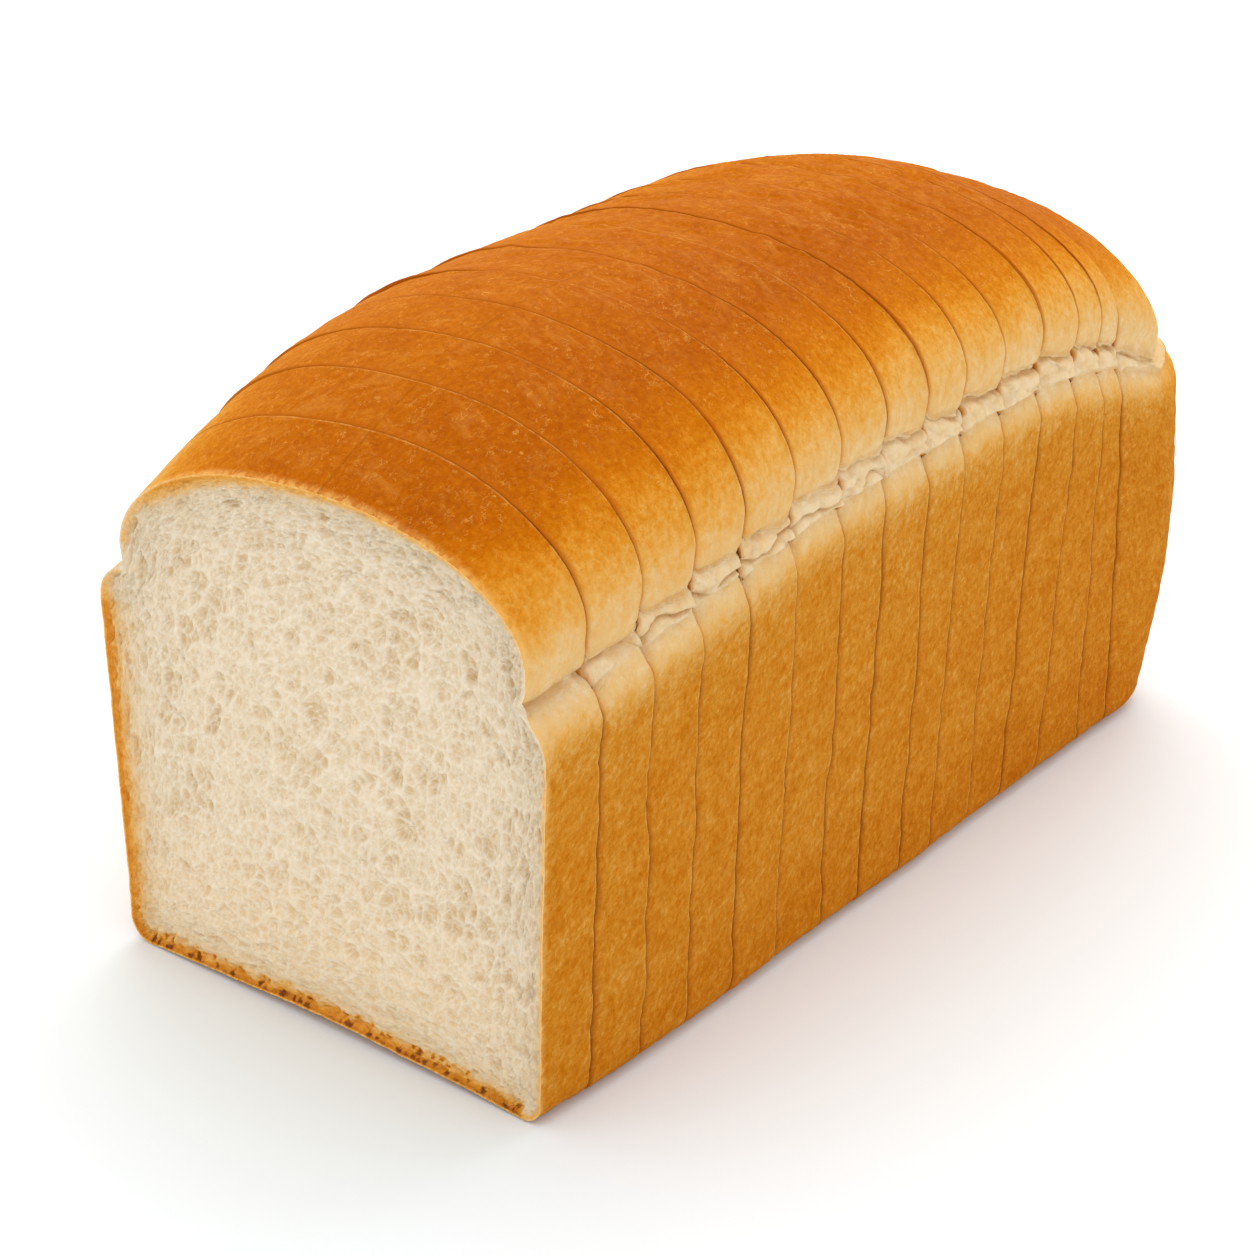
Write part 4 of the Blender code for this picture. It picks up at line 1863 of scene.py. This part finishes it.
    def in_place(self) -> bpy.types.NodeSocket:
        """Millimetres in the piece's own space.

        Returns:
            The coordinates.
        """
        place = self.node("ShaderNodeTexCoord", {}).outputs["Object"]
        return self.node("ShaderNodeVectorMath", {0: place, "Scale": 1.0 / MM},
                         operation="SCALE").outputs[0]


@dataclass(frozen=True)
class BakedCrust:
    """The crust of a white tin loaf, baked dry: thin, browned by the oven, nearly matt.

    The crown, which stood bare in the oven, is the darkest and flecked with pale blisters; the
    walls took an even golden tan and a fine brushed grain from the tin; the break is bare.
    """

    shades: tuple[Shade, ...] = (
        Shade(0.00, "e9d0a8"), Shade(0.10, "e4bd81"), Shade(0.25, "e2a752"),
        Shade(0.40, "da902b"), Shade(0.55, "cf7b12"), Shade(0.70, "c36a03"),
        Shade(0.85, "b75d00"), Shade(1.00, "aa5100"))
    # pale blister colour; over the crown's folds it is also used as painted highlight
    blister_and_highlight: str = "efae50"
    # painted shade along the cuts: the shaded front edge of each slice, on the wall, on the crown
    # and where the crust is pale
    cut_shade: str = "a2540a"
    crown_cut_shade: str = "b8600a"
    pale_cut_shade: str = "cf8c3a"
    # pale gold of the crust at a cut edge; on each slice's rear edge it is partly a painted
    # highlight
    edge: str = "f6bc66"
    # painted shade in the creases of the torn break
    crease_shade: str = "c8924e"
    fibre_size: tuple[float, float, float] = (2.6, 2.0, 2.6)  # millimetres, along the skin
    wall_stroke: tuple[float, float, float] = (0.7, 1.8, 1.8)
    wall_grain: tuple[float, float, float] = (1.3, 1.0, 1.3)
    wall_cloud: tuple[float, float, float] = (3.6, 6.5, 6.5)
    fine_grain: tuple[float, float, float] = (1.5, 1.1, 1.5)
    fold_size: tuple[float, float, float] = (14.0, 3.4, 14.0)
    fold_slope: float = math.radians(-20.0)
    wall_slope: float = math.radians(31.0)
    fine_deep: float = 0.6  # the bump's depth in millimetres
    pale_roughness: float = 0.8
    dark_roughness: float = 0.6
    specular: float = 0.02  # dry crust barely shines

    def make(self) -> bpy.types.Material:
        """Build the material.

        Returns:
            The material.
        """
        f = Finish("baked_bread_crust")
        skin, place = f.on_skin(), f.in_place()
        rise, bake = f.value("rise"), f.value("bake")
        on_crown = f.ease(rise, 2.0, 14.0)
        on_wall = f.ease(rise, -12.0, -2.0, 1.0, 0.0)
        patches = f.math("MULTIPLY_ADD", f.spots(f.stretched(place, (13, 9, 9))), 0.26, -0.13)
        mottle = f.math("MULTIPLY_ADD", f.spots(f.stretched(skin, (3.0, 2.2, 3.0)), 4.0, 0.7),
                        0.5, -0.25)
        less = f.math("MULTIPLY_ADD", on_crown, 0.3, 0.45)
        baked = f.math("MULTIPLY_ADD", f.math("ADD", patches, mottle), less, bake)
        strokes = f.spots(f.stretched(skin, self.wall_stroke, self.wall_slope), 4.0, 0.7, 1.1)
        grains = f.spots(f.stretched(skin, self.wall_grain), 3.0, 0.7, 0.6)
        rough = f.math("MULTIPLY_ADD", strokes, 0.55, f.math("MULTIPLY", grains, 0.45))
        grained = f.math("MULTIPLY", f.math("SUBTRACT", 0.5, rough), on_wall)
        baked = f.math("MULTIPLY_ADD", grained, 0.7, baked)
        clouds = f.spots(f.stretched(skin, self.wall_cloud, self.wall_slope), 3.0, 0.6, 0.8)
        clouded = f.math("MULTIPLY", f.math("SUBTRACT", clouds, 0.5), on_wall)
        baked = f.math("MULTIPLY_ADD", clouded, 0.35, baked)
        fine = f.spots(f.stretched(skin, self.fine_grain), 4.0, 0.7)
        baked = f.math("MULTIPLY_ADD", f.math("SUBTRACT", fine, 0.5),
                       f.math("MULTIPLY", f.ease(bake, 0.05, 0.5), 0.4), baked)
        colour = f.ramp(baked, self.shades)
        # painted highlight: pale streaks along the crown's folds, where light catches their relief
        folds = f.spots(f.stretched(skin, self.fold_size, self.fold_slope), 3.0, 0.6, 0.6)
        painted_fold_highlight = f.math("MULTIPLY", f.ease(folds, 0.5, 0.72), f.ease(rise, 30.0, 60.0))
        colour = f.mix(f.math("MULTIPLY", painted_fold_highlight, 0.15), colour, srgb(self.blister_and_highlight))
        winding = f.spots(f.stretched(skin, self.fibre_size), 2.0, 0.6, 1.5)
        away = f.math("ABSOLUTE", f.math("SUBTRACT", winding, 0.5))
        broken = f.ease(f.spots(f.stretched(place, (1.7, 1.7, 1.7)), 2.0), 0.46, 0.62)
        sparse = f.ease(f.spots(f.stretched(place, (6.5, 6.5, 6.5))), 0.35, 0.65, 0.35, 1.0)
        fibre = f.math("MULTIPLY", f.ease(away, 0.0, 0.045, 1.0, 0.0), broken)
        fibre = f.math("MULTIPLY", fibre, f.math("MULTIPLY", sparse, on_crown))
        colour = f.mix(f.math("MULTIPLY", fibre, 0.45), colour, srgb(self.blister_and_highlight))
        light = f.math("MULTIPLY", f.ease(rough, 0.54, 0.66), on_wall)
        colour = f.mix(f.math("MULTIPLY", light, 0.32), colour, srgb(self.blister_and_highlight))
        fore, aft = f.value("fore"), f.value("aft")
        # painted shade: a soft dark band and a thin dark line on each slice's front edge, which
        # lies in shade at the cut
        cut_shade = f.mix(on_crown, srgb(self.cut_shade), srgb(self.crown_cut_shade))
        cut_shade = f.mix(f.ease(bake, 0.1, 0.6), srgb(self.pale_cut_shade), cut_shade)
        cut_shade_patches = f.ease(f.spots(f.stretched(skin, (9.0, 40.0, 9.0)), 2.0, 0.6), 0.35, 0.65, 0.3)
        reach = f.ease(fore, 0.1, 1.7, 0.72, 0.0)
        wide = f.math("MULTIPLY", f.math("MULTIPLY", reach, cut_shade_patches), f.ease(bake, 0.1, 0.5, 0.3))
        colour = f.mix(wide, colour, cut_shade)
        thin = f.math("MULTIPLY", f.ease(fore, 0.05, 0.6, 0.85, 0.0), f.ease(bake, 0.0, 0.4, 0.5))
        colour = f.mix(thin, colour, cut_shade)
        # each slice's rear edge: partly pale crust at the cut, partly a painted highlight where
        # the edge catches the light
        frayed = f.ease(f.spots(f.stretched(skin, (2.2, 2.2, 2.2))), 0.4, 0.6, 0.35, 1.0)
        pale = f.math("MULTIPLY_ADD", on_wall, 0.3, 0.35)
        pale_edge_and_highlight = f.math("MULTIPLY", f.ease(aft, 0.05, 0.6, pale, 0.0), frayed)
        colour = f.mix(pale_edge_and_highlight, colour, srgb(self.edge))
        fringe = f.math("MULTIPLY", f.ease(f.value("fringe"), 0.1, 1.5, 0.6, 0.0), frayed)
        colour = f.mix(fringe, colour, srgb(self.edge))
        # painted shade: darker in the creases of the torn break
        crease = f.ease(f.value("crease"), 0.2, 1.0)
        colour = f.mix(f.math("MULTIPLY", crease, 0.6), colour, srgb(self.crease_shade))
        height = f.math("MULTIPLY_ADD", fibre, 0.08, fine)
        height = f.math("MULTIPLY_ADD", f.math("MULTIPLY", rough, on_wall), 1.8, height)
        bump = f.node("ShaderNodeBump", {"Height": height, "Strength": 0.9,
                                         "Distance": self.fine_deep * MM})
        links = f.material.node_tree.links
        links.new(colour, f.shader.inputs["Base Color"])
        links.new(bump.outputs[0], f.shader.inputs["Normal"])
        roughness = f.ease(bake, 0.1, 0.9, self.pale_roughness, self.dark_roughness)
        links.new(roughness, f.shader.inputs["Roughness"])
        f.shader.inputs["Specular IOR Level"].default_value = self.specular
        return f.material


@dataclass(frozen=True)
class OpenCrumb:
    """The cut crumb of a white loaf: matt, soft and cream, a foam of thin moist strands.

    Light goes a little way into it, so its pores are never dark.
    """

    strand: str = "f5ebda"
    wall: str = "e3cca9"
    # painted shade: the colour of the pores' hollows, darker than the crumb's walls
    pit: str = "d2b281"
    # painted light: lighter, warmer crumb toward the foot of the face, for light bounced up from
    # the floor
    painted_foot_light: str = "efcf9f"
    web_sizes: tuple[float, ...] = (5.4, 3.2, 1.7)  # millimetres, where the crumb is open
    web_lines: tuple[float, ...] = (0.07, 0.1, 0.15)
    web_weights: tuple[float, ...] = (0.55, 0.45, 0.35)
    web_deep: float = 0.4  # the bump's depth in millimetres
    roughness: float = 0.85
    specular: float = 0.05
    light_share: float = 0.2  # how much of the light goes into the crumb
    light_goes: float = 1.2  # how far, in millimetres
    light_spread: tuple[float, float, float] = (1.0, 0.7, 0.45)  # red goes furthest
    shades: tuple[Shade, ...] = (
        Shade(0.00, "e8cda0"), Shade(0.14, "eac284"), Shade(0.32, "eeb258"),
        Shade(0.50, "e0942a"), Shade(0.70, "c97812"), Shade(0.86, "9a5108"),
        Shade(1.00, "6e3405"))

    def make(self) -> bpy.types.Material:
        """Build the material.

        Returns:
            The material.
        """
        f = Finish("open_bread_crumb")
        inputs = {"X": f.value("foam_x"), "Y": f.value("foam_z"), "Z": 0.0}
        foam_place = f.node("ShaderNodeCombineXYZ", inputs).outputs[0]
        bend = f.node("ShaderNodeTexNoise", {"Vector": foam_place, "Scale": 0.5, "Detail": 2.0})
        inputs = {0: bend.outputs["Color"], 1: (2.0, 2.0, 0.0), 2: foam_place}
        warped = f.node("ShaderNodeVectorMath", inputs, operation="MULTIPLY_ADD").outputs[0]
        cloud = f.spots(f.stretched(foam_place, (1.6, 1.6, 1.6)), 3.0, 0.6)
        broad = f.spots(f.stretched(foam_place, (11.0, 11.0, 11.0)))
        web, hollow = 0.0, 0.0
        for size, line, weight in zip(self.web_sizes, self.web_lines, self.web_weights):
            inside = f.cells(f.stretched(warped, (size, size, size)), "DISTANCE_TO_EDGE")
            web = f.math("MAXIMUM", web, f.ease(inside, 0.0, line, weight, 0.0))
            here = f.ease(f.spots(f.stretched(foam_place, (2.2 * size, 1.9 * size, 1.0))),
                          0.42, 0.6, 0.0, weight)
            opened = f.math("MULTIPLY", here, f.ease(inside, 0.02, 0.24))
            hollow = f.math("MAXIMUM", hollow, opened)
        lit = f.math("MULTIPLY", web, f.ease(cloud, 0.36, 0.6, 0.3, 1.0))
        lit = f.math("MAXIMUM", lit, f.math("MULTIPLY", f.value("strand"), 0.7))
        # painted shade: darker where the pores are deep
        deep = f.math("MULTIPLY_ADD", f.value("pit"), 0.5, f.math("MULTIPLY", hollow, 0.3))
        deep = f.math("MULTIPLY_ADD", f.math("SUBTRACT", broad, 0.5), 0.3, deep)
        bare = f.mix(f.ease(deep, 0.0, 0.95), srgb(self.wall), srgb(self.pit))
        # painted light: lighter and warmer toward the foot of the open face
        low = f.ease(f.value("foam_z"), 5.0, 45.0, 0.6, 0.0)
        bare = f.mix(low, bare, srgb(self.painted_foot_light))
        bare = f.mix(lit, bare, srgb(self.strand))
        bake = f.math("MULTIPLY", f.value("bake"), f.ease(f.value("depth"), 0.0, 0.7, 0.5, 1.0))
        toast = f.math("MULTIPLY_ADD", cloud, 0.5, f.math("SUBTRACT", bake, 0.25))
        toast = f.math("MULTIPLY_ADD", web, -0.12, toast)
        toasted = f.ramp(f.math("MAXIMUM", toast, 0.0), self.shades)
        fades = f.ease(bake, 0.1, 0.6, 0.35, 0.05)
        toasted = f.mix(f.math("MULTIPLY", lit, fades), toasted, srgb(self.strand))
        colour = f.mix(f.ease(bake, 0.0, 0.3), bare, toasted)
        height = f.math("MULTIPLY_ADD", web, 0.5, f.math("MULTIPLY_ADD", hollow, -1.0, cloud))
        bump = f.node("ShaderNodeBump", {"Height": height, "Strength": 0.8,
                                         "Distance": self.web_deep * MM})
        links = f.material.node_tree.links
        links.new(colour, f.shader.inputs["Base Color"])
        links.new(bump.outputs[0], f.shader.inputs["Normal"])
        f.shader.inputs["Roughness"].default_value = self.roughness
        f.shader.inputs["Specular IOR Level"].default_value = self.specular
        f.shader.inputs["Subsurface Weight"].default_value = self.light_share
        f.shader.inputs["Subsurface Radius"].default_value = self.light_spread
        f.shader.inputs["Subsurface Scale"].default_value = self.light_goes * MM
        return f.material


# --- the whole loaf and its studio ---------------------------------------------------


@dataclass
class TinLoaf:
    """Fourteen slices and an end piece, cut and left standing in a row."""

    form: LoafForm = field(default_factory=LoafForm)
    slicing: Slicing = field(default_factory=Slicing)
    tear_seed: int = 400

    def tears(self, index: int, start: float, end: float) -> dict[int, TornBreak]:
        """The break on both sides of one piece.

        Args:
            index: The piece's number.
            start, end: Where it starts and ends along the loaf.

        Returns:
            The break on the right (1) and on the left (-1).
        """
        tear = self.slicing.tear[index]
        return {side: TornBreak(start=start, end=end, tear=tear,
                                seed=self.tear_seed + 10 * index + (side > 0))
                for side in (1, -1)}

    def build(self) -> list[bpy.types.Object]:
        """Build every piece, front to back.

        Returns:
            The pieces.
        """
        finishes = [BakedCrust().make(), OpenCrumb().make()]
        cuts = self.slicing.cuts()
        pieces = []
        for index, (front, back) in enumerate(zip(cuts[:-1], cuts[1:])):
            kind = OpenSlice if index == 0 else LoafSlice
            part = kind(node=f"slice_{index + 1:02d}", form=self.form, front=front, back=back,
                        tears=self.tears(index, front.place, back.place), finishes=finishes)
            pieces.append(part.build())
        start = cuts[-1].place
        end = EndPiece(node="end_slice", form=self.form, front=cuts[-1], finishes=finishes,
                       tears=self.tears(len(cuts) - 1, start, self.form.length))
        return pieces + [end.build()]


@dataclass(frozen=True)
class SoftLight:
    """One large soft light, aimed at the loaf."""

    name: str
    place: tuple[float, float, float]
    size: float
    power: float
    colour: tuple[float, float, float] = (1.0, 1.0, 1.0)

    def hang(self, aim: tuple[float, float, float]) -> None:
        """Hang the light.

        Args:
            aim: The place it points at.
        """
        lamp = bpy.data.lights.new(self.name, "AREA")
        lamp.shape = "DISK"
        lamp.size = self.size
        lamp.energy = self.power
        lamp.color = self.colour
        lamp_object = bpy.data.objects.new(self.name, lamp)
        lamp_object.location = self.place
        down = Vector(aim) - Vector(self.place)
        lamp_object.rotation_euler = down.to_track_quat("-Z", "Y").to_euler()
        bpy.context.scene.collection.objects.link(lamp_object)


@dataclass
class Studio:
    """A pale floor, soft light all round, and the camera."""

    floor_size: float = 8.0
    floor_colour: str = "eef2f4"
    floor_roughness: float = 0.9
    floor_specular: float = 0.1
    sky: float = 1.07
    lights: tuple[SoftLight, ...] = (
        SoftLight("key", (-0.5, 1.1, 1.9), 2.4, 24.0, (1.0, 0.99, 0.97)),)
    aim: tuple[float, float, float] = (0.0, 0.0, 0.06)  # where the lights point
    camera_place: tuple[float, float, float] = (0.33774, -0.45583, 0.31643)
    azimuth: float = math.radians(37.973)
    pitch: float = math.radians(25.766)
    roll: float = math.radians(0.231)
    lens: float = 84.04
    sensor: float = 36.0

    def build(self) -> None:
        """Lay the floor, hang the lights and place the camera."""
        bpy.ops.object.select_all(action="DESELECT")
        bpy.ops.mesh.primitive_plane_add(size=self.floor_size)
        floor = bpy.context.object
        floor.name = "floor"
        f = Finish("studio_floor_matt_white")
        f.shader.inputs["Base Color"].default_value = srgb(self.floor_colour)
        f.shader.inputs["Roughness"].default_value = self.floor_roughness
        f.shader.inputs["Specular IOR Level"].default_value = self.floor_specular
        floor.data.materials.append(f.material)
        world = bpy.data.worlds.new("studio")
        world.use_nodes = True
        background = world.node_tree.nodes["Background"]
        background.inputs["Color"].default_value = (1.0, 1.0, 1.0, 1.0)
        background.inputs["Strength"].default_value = self.sky
        bpy.context.scene.world = world
        bpy.context.scene.view_settings.view_transform = "Standard"
        for light in self.lights:
            light.hang(self.aim)
        self.place_camera()

    def place_camera(self) -> None:
        """Place the camera with its angles."""
        flat, steep = self.azimuth, self.pitch
        back = Vector((math.sin(flat) * math.cos(steep), -math.cos(flat) * math.cos(steep),
                       math.sin(steep)))
        right = Vector((0.0, 0.0, 1.0)).cross(back).normalized()
        up = back.cross(right)
        turned_right = math.cos(self.roll) * right + math.sin(self.roll) * up
        turned_up = math.cos(self.roll) * up - math.sin(self.roll) * right
        turn = Matrix((turned_right, turned_up, back)).transposed().to_4x4()
        camera = bpy.data.cameras.new("camera")
        camera.lens = self.lens
        camera.sensor_width = self.sensor
        camera.clip_end = 20.0
        camera_object = bpy.data.objects.new("camera", camera)
        camera_object.matrix_world = Matrix.Translation(self.camera_place) @ turn
        bpy.context.scene.collection.objects.link(camera_object)
        bpy.context.scene.camera = camera_object


def main() -> None:
    """Build the studio and the loaf, and log how many pieces were built."""
    logging.basicConfig(level=logging.INFO, format="%(name)s: %(message)s")
    Studio().build()
    pieces = TinLoaf().build()
    LOG.info("%d pieces", len(pieces))


if __name__ == "__main__":
    main()
